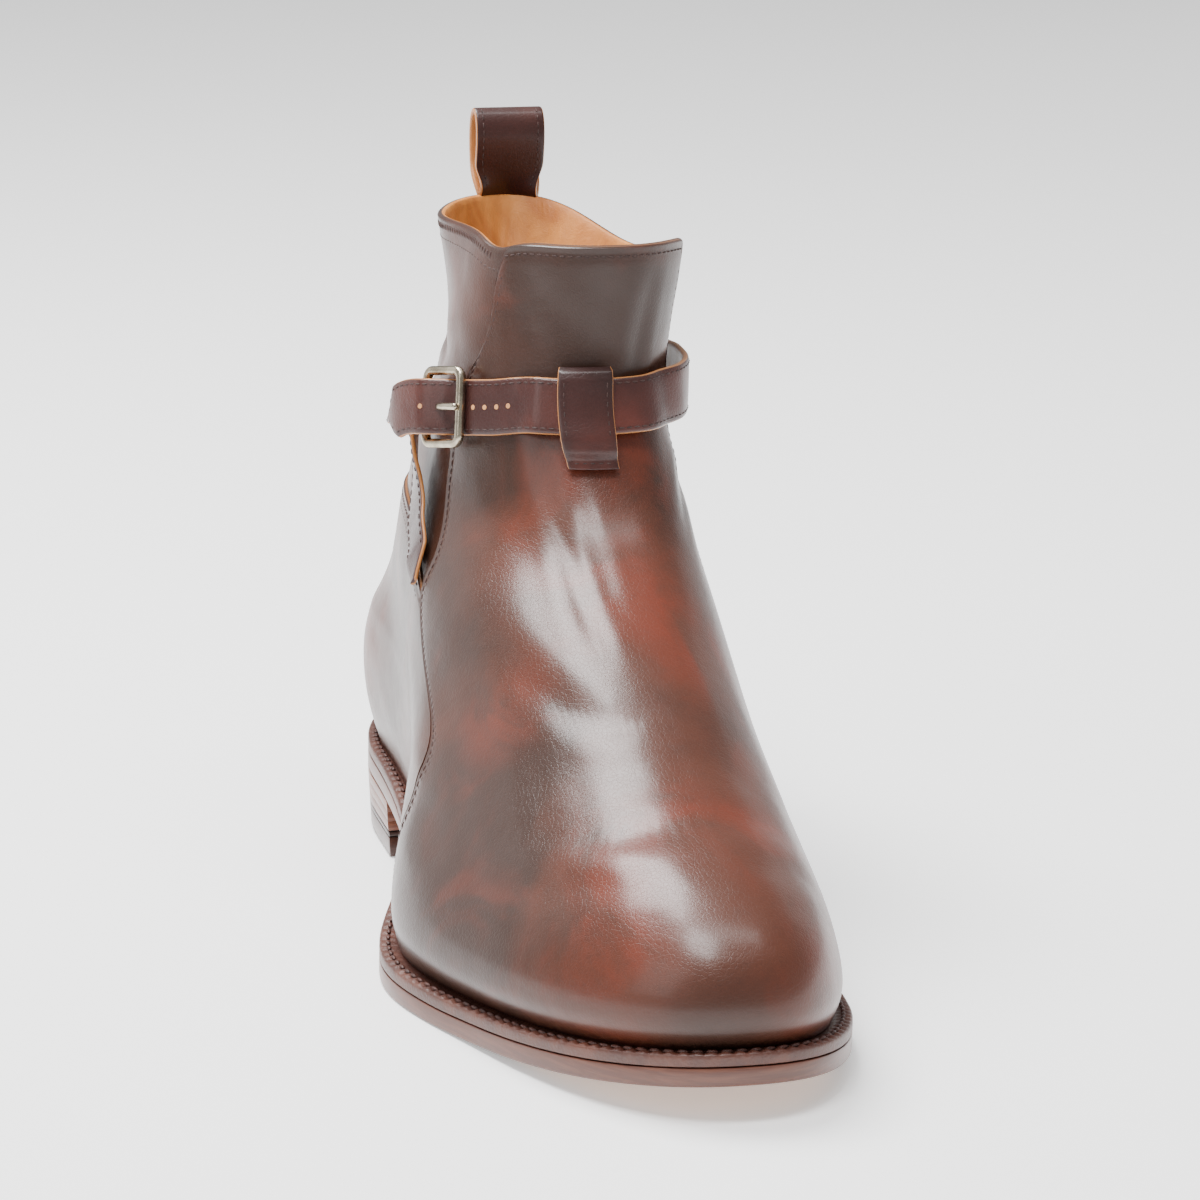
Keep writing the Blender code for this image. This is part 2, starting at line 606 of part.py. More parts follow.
def long_strap(leg, frame):
    """Strap from the inner quarter round the front, through keeper and buckle, to its free tip."""
    half = STRAP_WIDTH / 2.0
    on_skin = SKIN + GAP + STRAP_LEATHER / 2.0
    corner = 0.0745
    rows = [StrapRow(-0.0690, 0.0900, on_skin, -0.97, 0.25, 0.0018),
            StrapRow(-0.0705, 0.0965, on_skin + 0.0003, -0.98, 0.20, 0.0060),
            StrapRow(-0.0728, 0.1060, on_skin + 0.0010, -0.99, 0.10, half),
            StrapRow(-0.0742, 0.1160, 0.0036, -1.0, 0.0, half)]
    rows += turn_rows(corner, STRAP_HEIGHT - 0.0010, 0.0125, 0.0056, half, -1.0)
    for distance, lift in ((-0.0500, 0.0062), (-0.0380, 0.0066), (-0.0280, 0.0060), (-0.0190, 0.0044),
                           (-0.0120, IN_KEEPER + 0.0004), (-0.0070, IN_KEEPER), (0.0070, IN_KEEPER),
                           (0.0130, IN_KEEPER + 0.0001)):
        rows.append(StrapRow(distance, STRAP_HEIGHT, lift, 0.0, 1.0, half))
    rows.append(StrapRow(0.0195, STRAP_HEIGHT - 0.0010, 0.0032, 0.0, 1.0, half))
    rows.append(StrapRow(0.0250, STRAP_HEIGHT - 0.0022, 0.0030, 0.0, 1.0, half))
    bar = BUCKLE_HALF_LENGTH
    under = over_buckle(frame, np.array((-bar - 0.0022, -bar, -bar + 0.0018, -0.0008, bar - 0.0026, bar,
                                         bar + 0.0050, bar + 0.0095, bar + 0.0130, bar + 0.0160)),
                        np.array((UNDER_BAR, UNDER_BAR, UNDER_BAR + 0.0001, (UNDER_BAR + OVER_BAR) / 2.0,
                                  OVER_BAR - 0.0002, OVER_BAR, OVER_BAR, OVER_BAR - 0.0007, OVER_BAR - 0.0020,
                                  OVER_BAR - 0.0036)), half)
    table = np.concatenate([over_leg(leg, rows, 70), under])
    run = spline(table, 76)
    travelled = np.concatenate([[0.0], np.cumsum(np.linalg.norm(np.diff(run[:, :3], axis=0), axis=1))])
    left = travelled[-1] - travelled
    tip = through_flat([0.0, 0.0015, 0.0045, 0.0085, 0.0095], [0.10, 0.40, 0.72, 1.0, 1.0], np.clip(left, 0.0, 0.0095))
    strap = ribbon("long_strap", run[:, :3], run[:, 3:6], run[:, 6] * tip, STRAP_LEATHER, "strap_leather")
    cut_slot(strap, frame)


def cut_slot(strap, frame):
    """Slot that the prong rises through."""
    shape = bmesh.new()
    bmesh.ops.create_cube(shape, size=1.0)
    middle = (UNDER_BAR + OVER_BAR) / 2.0
    for vertex in shape.verts:
        corner = vertex.co.copy()
        vertex.co = frame.point(corner.x * 0.0090 + 0.0006, middle + corner.y * 0.0100,
                                corner.z * 2.0 * (PRONG_RADIUS + 0.0005))[0]
    bmesh.ops.recalc_face_normals(shape, faces=shape.faces)
    mesh = bpy.data.meshes.new("slot_cutter")
    shape.to_mesh(mesh)
    shape.free()
    cutter = bpy.data.objects.new("slot_cutter", mesh)
    bpy.context.scene.collection.objects.link(cutter)
    cut = strap.modifiers.new("prong slot", "BOOLEAN")
    cut.operation = "DIFFERENCE"
    cut.solver = "EXACT"
    cut.object = cutter
    cutter.hide_render = True
    cutter.display_type = "WIRE"


def buckle_strap(leg, frame):
    """Tab that rises from the outer quarter and folds round the buckle's back bar."""
    half = TAB_WIDTH / 2.0
    on_skin = SKIN + GAP + TAB_LEATHER / 2.0
    rows = [StrapRow(TAB_PLACE - 0.0035, 0.0900, on_skin, 0.97, 0.25, 0.0018),
            StrapRow(TAB_PLACE - 0.0030, 0.0965, on_skin, 0.98, 0.20, 0.0060),
            StrapRow(TAB_PLACE - 0.0018, 0.1040, on_skin + 0.0009, 0.99, 0.10, half),
            StrapRow(TAB_PLACE - 0.0006, 0.1130, 0.0040, 1.0, 0.0, half),
            StrapRow(TAB_PLACE, 0.1210, 0.0050, 1.0, 0.0, half)]
    bar = BUCKLE_HALF_LENGTH
    reach = BUCKLE_BAR + GAP + TAB_LEATHER / 2.0 + 0.0001
    rise = STRAP_HEIGHT - BUCKLE_DROP - 0.0016
    turning = turn_rows(TAB_PLACE, rise, 0.0112, 0.0056, half, 1.0)[1:7]
    fold = np.radians(np.array((-90.0, -120.0, -150.0, -180.0, -210.0, -240.0, -270.0)))
    back = np.concatenate([[bar + 0.0022], bar + reach * np.cos(fold), [bar + 0.0026, bar + 0.0052]])
    out = np.concatenate([[-reach], reach * np.sin(fold), [reach, reach]])
    twist = (0.0, 0.0, 0.05, 0.16, 0.27, 0.30, 0.28, 0.24, 0.17, 0.10, 0.04)
    table = np.concatenate([over_leg(leg, rows + turning, 30, twist), over_buckle(frame, back, out, half)])
    run = spline(table, 60)
    return ribbon("buckle_strap", run[:, :3], run[:, 3:6], run[:, 6], TAB_LEATHER, "strap_leather")


def hardware(frame):
    """Rectangular frame of round bar and the prong that rests on it."""
    half_length = BUCKLE_HALF_LENGTH
    half_height = STRAP_WIDTH / 2.0 + BUCKLE_SIDE_ROOM + BUCKLE_BAR
    corner = 0.0028
    path = []
    for quarter in range(4):
        side_back = (1.0, -1.0, -1.0, 1.0)[quarter]
        side_up = (1.0, 1.0, -1.0, -1.0)[quarter]
        for angle in np.linspace(0.0, np.pi / 2.0, 5) + quarter * np.pi / 2.0:
            path.append((side_back * (half_length - corner) + corner * np.cos(angle),
                         side_up * (half_height - corner) + corner * np.sin(angle)))
    path = np.array(path)
    along = np.roll(path, -1, axis=0) - np.roll(path, 1, axis=0)
    along /= np.linalg.norm(along, axis=1, keepdims=True)
    outward = np.stack([along[:, 1], -along[:, 0]], axis=1)
    loops = []
    for (back, up), (out_back, out_up) in zip(path, outward):
        loop = []
        for angle in np.linspace(0.0, 2.0 * np.pi, 9)[:-1]:
            side = BUCKLE_BAR * np.cos(angle)
            loop.append(frame.point(back + out_back * side, BUCKLE_BAR * np.sin(angle), up + out_up * side)[0])
        loops.append(loop)
    loft("buckle_frame", loops, "brass", ring=True)
    root = half_length - BUCKLE_BAR - 2.0 * GAP - TAB_LEATHER - PRONG_RADIUS
    rest = BUCKLE_BAR + GAP + PRONG_RADIUS
    path = spline(frame.point(np.array((root, root - 0.0030, 0.0, -half_length + 0.0022, -half_length,
                                        -half_length - 0.0018)),
                              np.array((0.0004, 0.0006, 0.0016, rest + 0.0002, rest + 0.0001, rest))), 12)
    along = np.gradient(path, axis=0)
    along /= np.linalg.norm(along, axis=1, keepdims=True)
    loops = []
    for number, (point, run) in enumerate(zip(path, along)):
        over = np.cross(run, frame.up)
        radius = PRONG_RADIUS * (0.72 if number in (0, len(path) - 1) else 1.0)
        loops.append([point + radius * (np.cos(angle) * frame.up + np.sin(angle) * over)
                      for angle in np.linspace(0.0, 2.0 * np.pi, 9)[:-1]])
    loops = [np.array([np.mean(loops[0], axis=0)] * 8)] + loops + [np.array([np.mean(loops[-1], axis=0)] * 8)]
    loft("buckle_prong", loops, "brass")


def keeper(leg):
    """Loop of leather sewn to the front of the leg, which the strap runs through."""
    low = STRAP_HEIGHT - STRAP_WIDTH / 2.0 - 0.0007
    high = STRAP_HEIGHT + STRAP_WIDTH / 2.0 + 0.0007
    inner_lift = SKIN + KEEPER_LEATHER
    outer_lift = inner_lift + STRAP_LEATHER + 2.0 * GAP + 0.0012
    middle = (inner_lift + outer_lift) / 2.0
    profile = []
    for height, lift, out_height, out_lift in (
            (low, inner_lift, low - KEEPER_FOOT, SKIN + 0.0004),
            (low + 0.0020, inner_lift, low + 0.0020, SKIN + 0.0001),
            (STRAP_HEIGHT, inner_lift, STRAP_HEIGHT, SKIN),
            (high - 0.0010, inner_lift, high - 0.0010, SKIN),
            (high, inner_lift + 0.0004, high + KEEPER_LEATHER, SKIN + 0.0009),
            (high + 0.0003, middle, high + KEEPER_TOP / 2.0, middle),
            (high, outer_lift - 0.0004, high + KEEPER_LEATHER, outer_lift + KEEPER_LEATHER - 0.0009),
            (high - 0.0010, outer_lift, high - 0.0010, outer_lift + KEEPER_LEATHER),
            (STRAP_HEIGHT, outer_lift, STRAP_HEIGHT, outer_lift + KEEPER_LEATHER),
            (low + 0.0020, outer_lift, low + 0.0010, outer_lift + KEEPER_LEATHER),
            (low, outer_lift - 0.0003, low - 0.0026, outer_lift + KEEPER_LEATHER - 0.0013),
            (low - 0.0003, middle, low - KEEPER_FOOT, SKIN + 2.0 * KEEPER_LEATHER)):
        profile.append((height, lift, out_height, out_lift))
    across = np.linspace(-KEEPER_WIDTH / 2.0, KEEPER_WIDTH / 2.0, 7) + KEEPER_AHEAD
    loops = []
    for height, lift, out_height, out_lift in profile:
        outside, _, _ = leg.place(across, out_height, np.full(len(across), out_lift))
        inside, _, _ = leg.place(across[::-1], height, np.full(len(across), lift))
        loops.append(np.concatenate([outside, inside]))
    loft("keeper_loop", loops, "strap_leather", ring=True)


def pull_loop():
    """Finger loop that stands on the back of the collar."""
    across = np.linspace(-LOOP_WIDTH / 2.0, LOOP_WIDTH / 2.0, 7)
    ring = last_point(np.linspace(-0.12, 0.12, 81), np.full(81, float(TOP_SECTION)))
    reach = np.concatenate([[0.0], np.cumsum(np.linalg.norm(np.diff(ring[:, :2], axis=0), axis=1))])
    u = np.interp(across, reach - reach[40], np.linspace(-0.12, 0.12, 81))
    foot = last_point(u, np.full(len(u), float(TOP_SECTION)))
    out = last_normal(u, np.full(len(u), float(TOP_SECTION)))
    rim = foot - out * WALL / 2.0 + (0.0, 0.0, GAP)
    middle = rim[len(rim) // 2]
    face = out[len(out) // 2]
    side = np.cross(face, (0.0, 0.0, 1.0))
    side *= np.sign(side.dot(rim[-1] - rim[0]))
    flat = middle + across[:, None] * side
    up = np.array((0.0, 0.0, 1.0))
    profile = []
    for angle in np.linspace(0.0, 2.0 * np.pi, 21)[:-1]:
        rise = (1.0 - np.cos(angle)) / 2.0
        depth = np.sin(angle) * LOOP_DEPTH / 2.0 * (0.45 + 0.55 * rise) * 1.35
        profile.append((rise * LOOP_HEIGHT, depth))
    profile = np.array(profile)
    centre = np.array((LOOP_HEIGHT * 0.5, 0.0))
    along = np.roll(profile, -1, axis=0) - np.roll(profile, 1, axis=0)
    along /= np.linalg.norm(along, axis=1, keepdims=True)
    inward = np.stack([along[:, 1], -along[:, 0]], axis=1)
    inward *= np.sign(((centre - profile) * inward).sum(1))[:, None]
    slim = profile + inward * LOOP_LEATHER
    loops = []
    for (rise, depth), (slim_rise, slim_depth) in zip(profile, slim):
        straight = np.clip(rise / 0.009, 0.0, 1.0)
        straight = straight * straight * (3.0 - 2.0 * straight)
        foot = rim + (flat - rim) * straight
        away = out + (face - out) * straight
        outside = foot + up * rise + away * depth
        inside = (foot + up * slim_rise + away * slim_depth)[::-1]
        loops.append(np.concatenate([outside, inside]))
    loft("pull_loop", loops, "strap_leather", ring=True)


def main():
    """Clears the scene and builds every piece."""
    for thing in list(bpy.context.scene.objects):
        bpy.data.objects.remove(thing, do_unlink=True)
    bottom()
    upper()
    leg = Leg()
    frame = BuckleFrame(leg)
    long_strap(leg, frame)
    buckle_strap(leg, frame)
    hardware(frame)
    keeper(leg)
    pull_loop()


main()
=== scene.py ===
"""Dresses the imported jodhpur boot: seamed and creased upper, strap, buckle, welted sole and heel."""

import logging
import math
from dataclasses import dataclass
from enum import Enum
from typing import Callable, Iterable, Sequence

import bmesh
import bpy
import numpy as np
from mathutils import Matrix, Vector


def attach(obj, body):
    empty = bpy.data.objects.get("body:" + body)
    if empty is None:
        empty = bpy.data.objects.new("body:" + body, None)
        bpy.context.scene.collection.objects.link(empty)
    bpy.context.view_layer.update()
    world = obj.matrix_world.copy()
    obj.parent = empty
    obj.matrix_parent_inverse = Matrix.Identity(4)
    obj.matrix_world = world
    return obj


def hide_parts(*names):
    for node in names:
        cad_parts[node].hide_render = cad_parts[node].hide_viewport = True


LOG = logging.getLogger("jodhpur_boot")
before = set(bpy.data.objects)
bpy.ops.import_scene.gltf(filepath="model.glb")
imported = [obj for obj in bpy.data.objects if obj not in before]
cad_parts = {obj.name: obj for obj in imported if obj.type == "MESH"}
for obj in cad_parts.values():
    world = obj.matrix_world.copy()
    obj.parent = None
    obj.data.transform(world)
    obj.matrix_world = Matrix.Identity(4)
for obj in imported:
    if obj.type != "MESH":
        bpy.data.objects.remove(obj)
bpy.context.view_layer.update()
MM = 0.001
UP = np.array((0.0, 0.0, 1.0))
LEVEL = np.array((1.0, 1.0, 0.0))
LEG_MIDDLE = np.array((0.012, -0.02, 0.0))
STRAP_HEIGHT = 0.1432

# A height above the floor, from x and the distance ahead of the heel
Height = Callable[[np.ndarray, np.ndarray], np.ndarray]


class Side(Enum):
    """Side of the foot that a seam runs down."""

    OUTER = "outer"
    INNER = "inner"


def through(knots: Sequence[float], values: Sequence, x: np.ndarray) -> np.ndarray:
    """Smooth curve through values.

    Args:
        knots: Places of the values, rising.
        values: Numbers or arrays shaped like x.
        x: Where the curve is read.

    Returns:
        The curve's value at each x.
    """
    values = [np.asarray(value, float) + 0.0 * x for value in values]
    runs = np.diff(np.asarray(knots, float))
    rates = [(values[i + 1] - values[i]) / runs[i] for i in range(len(runs))]
    slopes = [rates[0] * 0.5]
    for i in range(len(runs) - 1):
        slopes.append((runs[i + 1] * rates[i] + runs[i] * rates[i + 1]) / (runs[i] + runs[i + 1]))
    slopes.append(rates[-1])
    result = values[0] + slopes[0] * (x - knots[0])
    for i, run in enumerate(runs):
        share = np.clip((x - knots[i]) / run, 0.0, 1.0)
        rising = share * share * (3.0 - 2.0 * share)
        piece = (values[i] * (1.0 - rising) + values[i + 1] * rising
                 + run * slopes[i] * share * (1.0 - share) ** 2
                 - run * slopes[i + 1] * share * share * (1.0 - share))
        result = np.where(x >= knots[i], piece, result)
    return result


def ease(x: np.ndarray) -> np.ndarray:
    """Smooth step from 0 to 1."""
    x = np.clip(x, 0.0, 1.0)
    return x * x * (3.0 - 2.0 * x)


def unit(rows: np.ndarray) -> np.ndarray:
    """Rows scaled to length one."""
    return rows / np.maximum(np.linalg.norm(rows, axis=-1, keepdims=True), 1e-12)


class Last:
    """The form that the boot is made over; u runs round it and v climbs its sections."""

    LENGTH = 0.284
    ORIGIN_AHEAD = 0.050
    BALL = 0.112
    INSTEP = 0.080
    LEG = 0.062
    LEG_RISE = 0.168
    HEEL_HEIGHT = 0.0172
    HEEL_LENGTH = 0.074
    TOE_SPRING = 0.0098
    OUTSOLE = 0.0050
    WELT = 0.0034
    GAP = 0.0003
    LEAN = 0.114
    LEAN_FROM = 0.040
    SEAT_RISE = 0.115
    WAIST_FROM, TREAD_FROM, TREAD_TO = 0.218, 0.620, 0.722
    SPRING_POWER = 1.70
    NOSE_POWER = 2.3
    TOP = 9.0
    DIP_FROM = 7.4
    COLLAR_DIPS = ((0.0098, 0.785, 0.100), (0.0026, 0.362, 0.028))
    KNOTS_OUT = (0.14, 0.40, 0.63, 0.80, 1.00)
    KNOTS_IN = (0.14, 0.40, 0.68, 0.84, 1.00)
    FIELDS = ("back front rise_back rise_front swing heel waist_out waist_in ball_out ball_in "
              "fore_out fore_in toe_out toe_in tail nose follow").split()
    FOOT = (
        (.021, .978, .000, .000, .168, .258, .286, .215, .475, .390, .410, .395, .375, .375, .17, .37, 1.0),
        (.007, .996, .175, .112, .160, .290, .304, .250, .495, .415, .455, .415, .400, .390, .17, .36, 1.0),
        (.004, .975, .340, .290, .160, .298, .308, .277, .469, .405, .427, .394, .366, .366, .18, .36, 1.0),
        (.005, .908, .450, .480, .153, .283, .304, .295, .406, .382, .372, .368, .320, .330, .20, .37, .95),
        (.013, .766, .600, .720, .132, .250, .300, .303, .353, .363, .332, .343, .295, .304, .24, .39, .80),
        (.024, .624, .775, 1.00, .106, .246, .290, .295, .317, .340, .310, .320, .286, .286, .30, .42, .50),
    )
    SHAFT = (
        (.040, .500, .477, .582, .210, .444, .492, .500, .508, .525, .510, .520, .484, .484, .38, .46, .20),
        (.054, .437, .620, .703, .115, .411, .445, .484, .484, .486, .495, .495, .476, .476, .45, .48, .00),
        (.060, .415, .745, .818, .080, .366, .390, .484, .477, .494, .505, .505, .490, .490, .50, .50, .00),
        (.026, .416, .912, 1.00, .087, .450, .484, .484, .455, .516, .503, .525, .490, .505, .50, .50, .00),
    )

    def __init__(self) -> None:
        """Turns the tables' shares into lengths."""
        self.columns: dict[str, list[float]] = {}
        for number, name in enumerate(self.FIELDS):
            column = []
            for rows, rise, width in ((self.FOOT, self.INSTEP, self.BALL), (self.SHAFT, self.LEG_RISE, self.LEG)):
                scale = 1.0 if name in ("tail", "nose", "follow") else width
                if name in ("back", "front"):
                    scale = self.LENGTH
                elif name.startswith("rise"):
                    scale = rise
                column += [row[number] * scale for row in rows]
            self.columns[name] = column
        self._ring_cache: tuple[np.ndarray, np.ndarray] | None = None

    def ground(self, ahead: np.ndarray) -> np.ndarray:
        """Height of the outsole's underside above the floor at a place along the boot."""
        ahead = np.asarray(ahead, float)
        share = ahead / self.LENGTH
        fall = ease((share - self.WAIST_FROM) / (self.TREAD_FROM - self.WAIST_FROM))
        heel = self.HEEL_HEIGHT * (1.0 + self.SEAT_RISE * np.clip(1.0 - ahead / self.HEEL_LENGTH, 0.0, None))
        spring = np.clip((share - self.TREAD_TO) / (1.0 - self.TREAD_TO), 0.0, None) ** self.SPRING_POWER
        return heel * (1.0 - fall) + self.TOE_SPRING * spring

    def seat(self, ahead: np.ndarray) -> np.ndarray:
        """Height of the line where the upper meets the welt."""
        return self.ground(ahead) + self.OUTSOLE + self.WELT + 2.0 * self.GAP

    def point(self, u: np.ndarray, v: np.ndarray) -> np.ndarray:
        """Points on the form.

        Args:
            u: Place round it: 0 at the back, .25 outer side, .5 toe, .75 inner side.
            v: Section number from 0 at the sole to 9 at the collar.

        Returns:
            An array of x, y, z.
        """
        u = np.mod(np.asarray(u, float), 1.0)
        v = np.asarray(v, float) + 0.0 * u
        u = u + 0.0 * v
        levels = np.arange(len(self.FOOT) + len(self.SHAFT))
        row = {name: through(levels, column, v) for name, column in self.columns.items()}
        outer = u <= 0.5
        turn = np.where(outer, u, 1.0 - u) * 2.0 * np.pi
        t = (1.0 - np.cos(turn)) / 2.0
        behind = np.clip(1.0 - t / row["tail"], 0.0, 1.0)
        beyond = np.clip((t - 1.0 + row["nose"]) / row["nose"], 0.0, 1.0)
        ends = np.sqrt(1.0 - behind ** 2) * (1.0 - beyond ** self.NOSE_POWER) ** (1.0 / self.NOSE_POWER)
        out = through(self.KNOTS_OUT, [row[n] for n in ("heel", "waist_out", "ball_out", "fore_out", "toe_out")], t)
        inn = through(self.KNOTS_IN, [row[n] for n in ("heel", "waist_in", "ball_in", "fore_in", "toe_in")], t)
        half = np.where(outer, -out, inn) * ends
        ahead = row["back"] + (row["front"] - row["back"]) * t
        middle = (row["rise_back"] + row["rise_front"]) / 2.0
        x = row["swing"] * t * t + half + self.LEAN * np.clip(middle - self.LEAN_FROM, 0.0, None)
        rise = row["rise_back"] + (row["rise_front"] - row["rise_back"]) * t
        level = self.seat(row["back"]) + (self.seat(row["front"]) - self.seat(row["back"])) * t
        z = rise + row["follow"] * self.seat(ahead) + (1.0 - row["follow"]) * level
        dip = sum(depth * np.exp(-((u - place) / reach) ** 2) for depth, place, reach in self.COLLAR_DIPS)
        z = z - dip * ease((v - self.DIP_FROM) / (self.TOP - self.DIP_FROM))
        return np.stack([x, self.ORIGIN_AHEAD - ahead, z], axis=-1)

    def normal(self, u: np.ndarray, v: np.ndarray) -> np.ndarray:
        """Outward normals, level at the sole and at the collar."""
        low = np.clip(v - 0.02, 0.0, self.TOP)
        high = np.clip(v + 0.02, 0.0, self.TOP)
        along = self.point(u + 0.002, v) - self.point(u - 0.002, v)
        up = self.point(u, high) - self.point(u, low)
        across = np.cross(along, up)
        across[..., 2] *= np.clip(v, 0.0, 1.0) * np.clip(self.TOP - v, 0.0, 1.0)
        return unit(across)

    def at_height(self, u: np.ndarray, z: np.ndarray) -> np.ndarray:
        """Points of the leg at places round it and heights above the floor."""
        levels = np.linspace(3.0, self.TOP, 121)
        u = np.atleast_1d(np.asarray(u, float))
        z = np.asarray(z, float) + 0.0 * u
        grid = self.point(u[:, None] + 0.0 * levels, levels + 0.0 * u[:, None])
        points = []
        for column, height in zip(grid, z):
            points.append([np.interp(height, column[:, 2], column[:, axis]) for axis in (0, 1)] + [height])
        return np.array(points)

    def on_leg(self, distance: np.ndarray, z: np.ndarray,
               lift: np.ndarray) -> tuple[np.ndarray, np.ndarray, np.ndarray]:
        """Places over the leg.

        Args:
            distance: Metres round from the leg's front at strap height, positive to the outer side.
            z: Height above the floor.
            lift: Distance off the skin.

        Returns:
            Points, unit directions backwards round the leg, and unit directions outwards.
        """
        if self._ring_cache is None:
            u = np.linspace(0.0, 1.0, 361)
            ring = self.at_height(u, STRAP_HEIGHT)
            steps = np.linalg.norm(np.diff(ring[:, :2], axis=0), axis=1)
            back = np.concatenate([[0.0], np.cumsum(steps)])
            self._ring_cache = (u, np.interp(0.5, u, back) - back)
        ring_u, ring_round = self._ring_cache
        u = np.interp(-np.asarray(distance, float), -ring_round, ring_u)
        here = self.at_height(u, z)
        along = unit((self.at_height(u - 0.004, z) - self.at_height(u + 0.004, z)) * LEVEL)
        out = np.cross(along, UP)
        out *= np.sign((out * (here - LEG_MIDDLE)).sum(-1))[:, None]
        return here + out * np.reshape(lift, (-1, 1)), along, out


LAST = Last()


class Seams:
    """Where the edges of the leather pieces run over the last."""

    LEVELS = (0.0, 1.8, 3.0, 3.8, 4.3, 4.8, 5.4, 6.3, 7.7, 8.3, 9.0)
    OUTER = (.272, .269, .282, .296, .279, .271, .291, .303, .346, .370, .374)
    INNER = (.716, .714, .700, .686, .694, .698, .674, .655, .643, .634, .630)
    FOX_WAY = (0.0, 0.45, 0.78, 0.93, 1.0)
    FOX_LEVEL = (5.85, 5.80, 5.55, 5.05, 4.80)

    @classmethod
    def front(cls, v: np.ndarray, side: Side) -> np.ndarray:
        """Place round the last of the front panel's edge at level v."""
        return through(cls.LEVELS, cls.OUTER if side is Side.OUTER else cls.INNER, np.asarray(v, float))

    @classmethod
    def fox(cls, way: np.ndarray) -> np.ndarray:
        """Level of the foxing's top edge; way is 0 at the back seam, 1 at the front panel."""
        return through(cls.FOX_WAY, cls.FOX_LEVEL, np.asarray(way, float))


@dataclass(frozen=True)
class Crease:
    """A soft trough in the leather with a low ridge on each side, through places on the last."""

    path: tuple[tuple[float, float], ...]
    width: float
    depth: float

    def push(self, points: np.ndarray) -> np.ndarray:
        """How far each point moves out; negative in the trough."""
        places = np.array(self.path)
        share = np.linspace(0.0, 1.0, 28)
        knots = np.linspace(0.0, 1.0, len(places))
        line = LAST.point(np.interp(share, knots, places[:, 0]), np.interp(share, knots, places[:, 1]))
        smooth = np.stack([through(knots, LAST.point(places[:, 0], places[:, 1])[:, k], share) for k in range(3)], -1)
        line = (line + smooth) / 2.0
        near = np.full(points.shape[:-1], 1.0)
        weight = np.zeros(points.shape[:-1])
        for spot, part in zip(line, np.sin(np.pi * np.clip(share, 0.03, 0.97)) ** 0.6):
            away = np.linalg.norm(points - spot, axis=-1)
            closer = away < near
            near = np.where(closer, away, near)
            weight = np.where(closer, part, weight)
        trough = -np.exp(-(near / self.width) ** 2)
        ridge = 0.40 * np.exp(-((near - 2.0 * self.width) / (0.9 * self.width)) ** 2)
        return self.depth * weight * (trough + ridge)


CREASES = (
    Crease(((.432, 6.6), (.440, 6.0), (.452, 5.4), (.470, 4.9)), 3.0 * MM, 0.45 * MM),
    Crease(((.462, 6.5), (.470, 5.9), (.486, 5.3)), 2.4 * MM, 0.35 * MM),
    Crease(((.350, 5.0), (.400, 4.6), (.450, 4.4), (.520, 4.5)), 4.5 * MM, 0.50 * MM),
    Crease(((.425, 8.8), (.430, 8.0), (.445, 7.2), (.440, 6.6)), 4.0 * MM, 0.55 * MM),
    Crease(((.500, 8.7), (.505, 8.0), (.498, 7.4)), 3.0 * MM, 0.40 * MM),
    Crease(((.560, 8.8), (.552, 8.1), (.560, 7.5)), 2.6 * MM, 0.45 * MM),
    Crease(((.150, 7.6), (.200, 7.9), (.260, 7.7), (.310, 7.9)), 4.0 * MM, 0.80 * MM),
    Crease(((.060, 7.5), (.120, 7.3), (.180, 7.2), (.240, 7.4)), 4.5 * MM, 0.90 * MM),
    Crease(((.760, 7.9), (.820, 7.6), (.880, 7.8), (.940, 7.6)), 4.2 * MM, 0.85 * MM),
    Crease(((.700, 7.2), (.760, 6.9), (.830, 7.1), (.900, 6.9)), 4.6 * MM, 0.80 * MM),
    Crease(((.340, 3.0), (.400, 3.3), (.460, 3.5), (.540, 3.6), (.600, 3.3)), 5.0 * MM, 0.35 * MM),
    Crease(((.330, 2.4), (.390, 2.75), (.450, 3.0)), 4.2 * MM, 0.30 * MM),
    Crease(((.610, 2.6), (.570, 3.0), (.520, 3.1)), 4.2 * MM, 0.30 * MM),
    Crease(((.605, 5.9), (.640, 6.4), (.660, 6.0)), 3.0 * MM, 0.60 * MM),
)


def creased(points: np.ndarray, normals: np.ndarray) -> np.ndarray:
    """Points moved along their normals by every crease and by the leather's slow waves."""
    push = np.zeros(points.shape[:-1])
    for crease in CREASES:
        push += crease.push(points)
    x, y, z = points[..., 0] / MM, points[..., 1] / MM, points[..., 2] / MM
    waves = np.sin(x * 0.11 + 1.3) * np.sin(y * 0.09 + 0.4) * np.sin(z * 0.13 + 2.0)
    fine = np.sin(x * 0.31 + z * 0.12) * np.sin(y * 0.23 - z * 0.29 + 1.0)
    push += (0.22 * waves + 0.07 * fine) * MM * ease((z - 22.0) / 20.0)
    return points + normals * push[..., None]


def skin(name: str, loops: np.ndarray, fields: dict[str, np.ndarray] | None = None,
         ring: bool = False) -> bpy.types.Object:
    """One closed piece from a Blender grid; each grid row goes to one closed loop of points.

    Args:
        name: Name of the piece.
        loops: Rows of closed loops of points.
        fields: Numbers for each point, kept as attributes that the materials read.
        ring: True if the last row joins the first.

    Returns:
        The new object, linked to the scene.
    """
    fields = dict(fields or {})
    loops = np.asarray(loops, float)
    if ring:
        loops = np.concatenate([loops, loops[:1]])
        fields = {key: np.concatenate([value, value[:1]]) for key, value in fields.items()}
    rows, around = loops.shape[:2]
    shape = bmesh.new()
    layers = {key: shape.verts.layers.float.new(key) for key in fields}
    bmesh.ops.create_grid(shape, x_segments=around, y_segments=rows - 1, size=0.5)
    for vertex in shape.verts:
        column = round((vertex.co.x + 0.5) * around) % around
        row = round((vertex.co.y + 0.5) * (rows - 1))
        vertex.co = loops[row, column]
        for key, layer in layers.items():
            vertex[layer] = float(fields[key][row, column])
    return finished(name, shape)


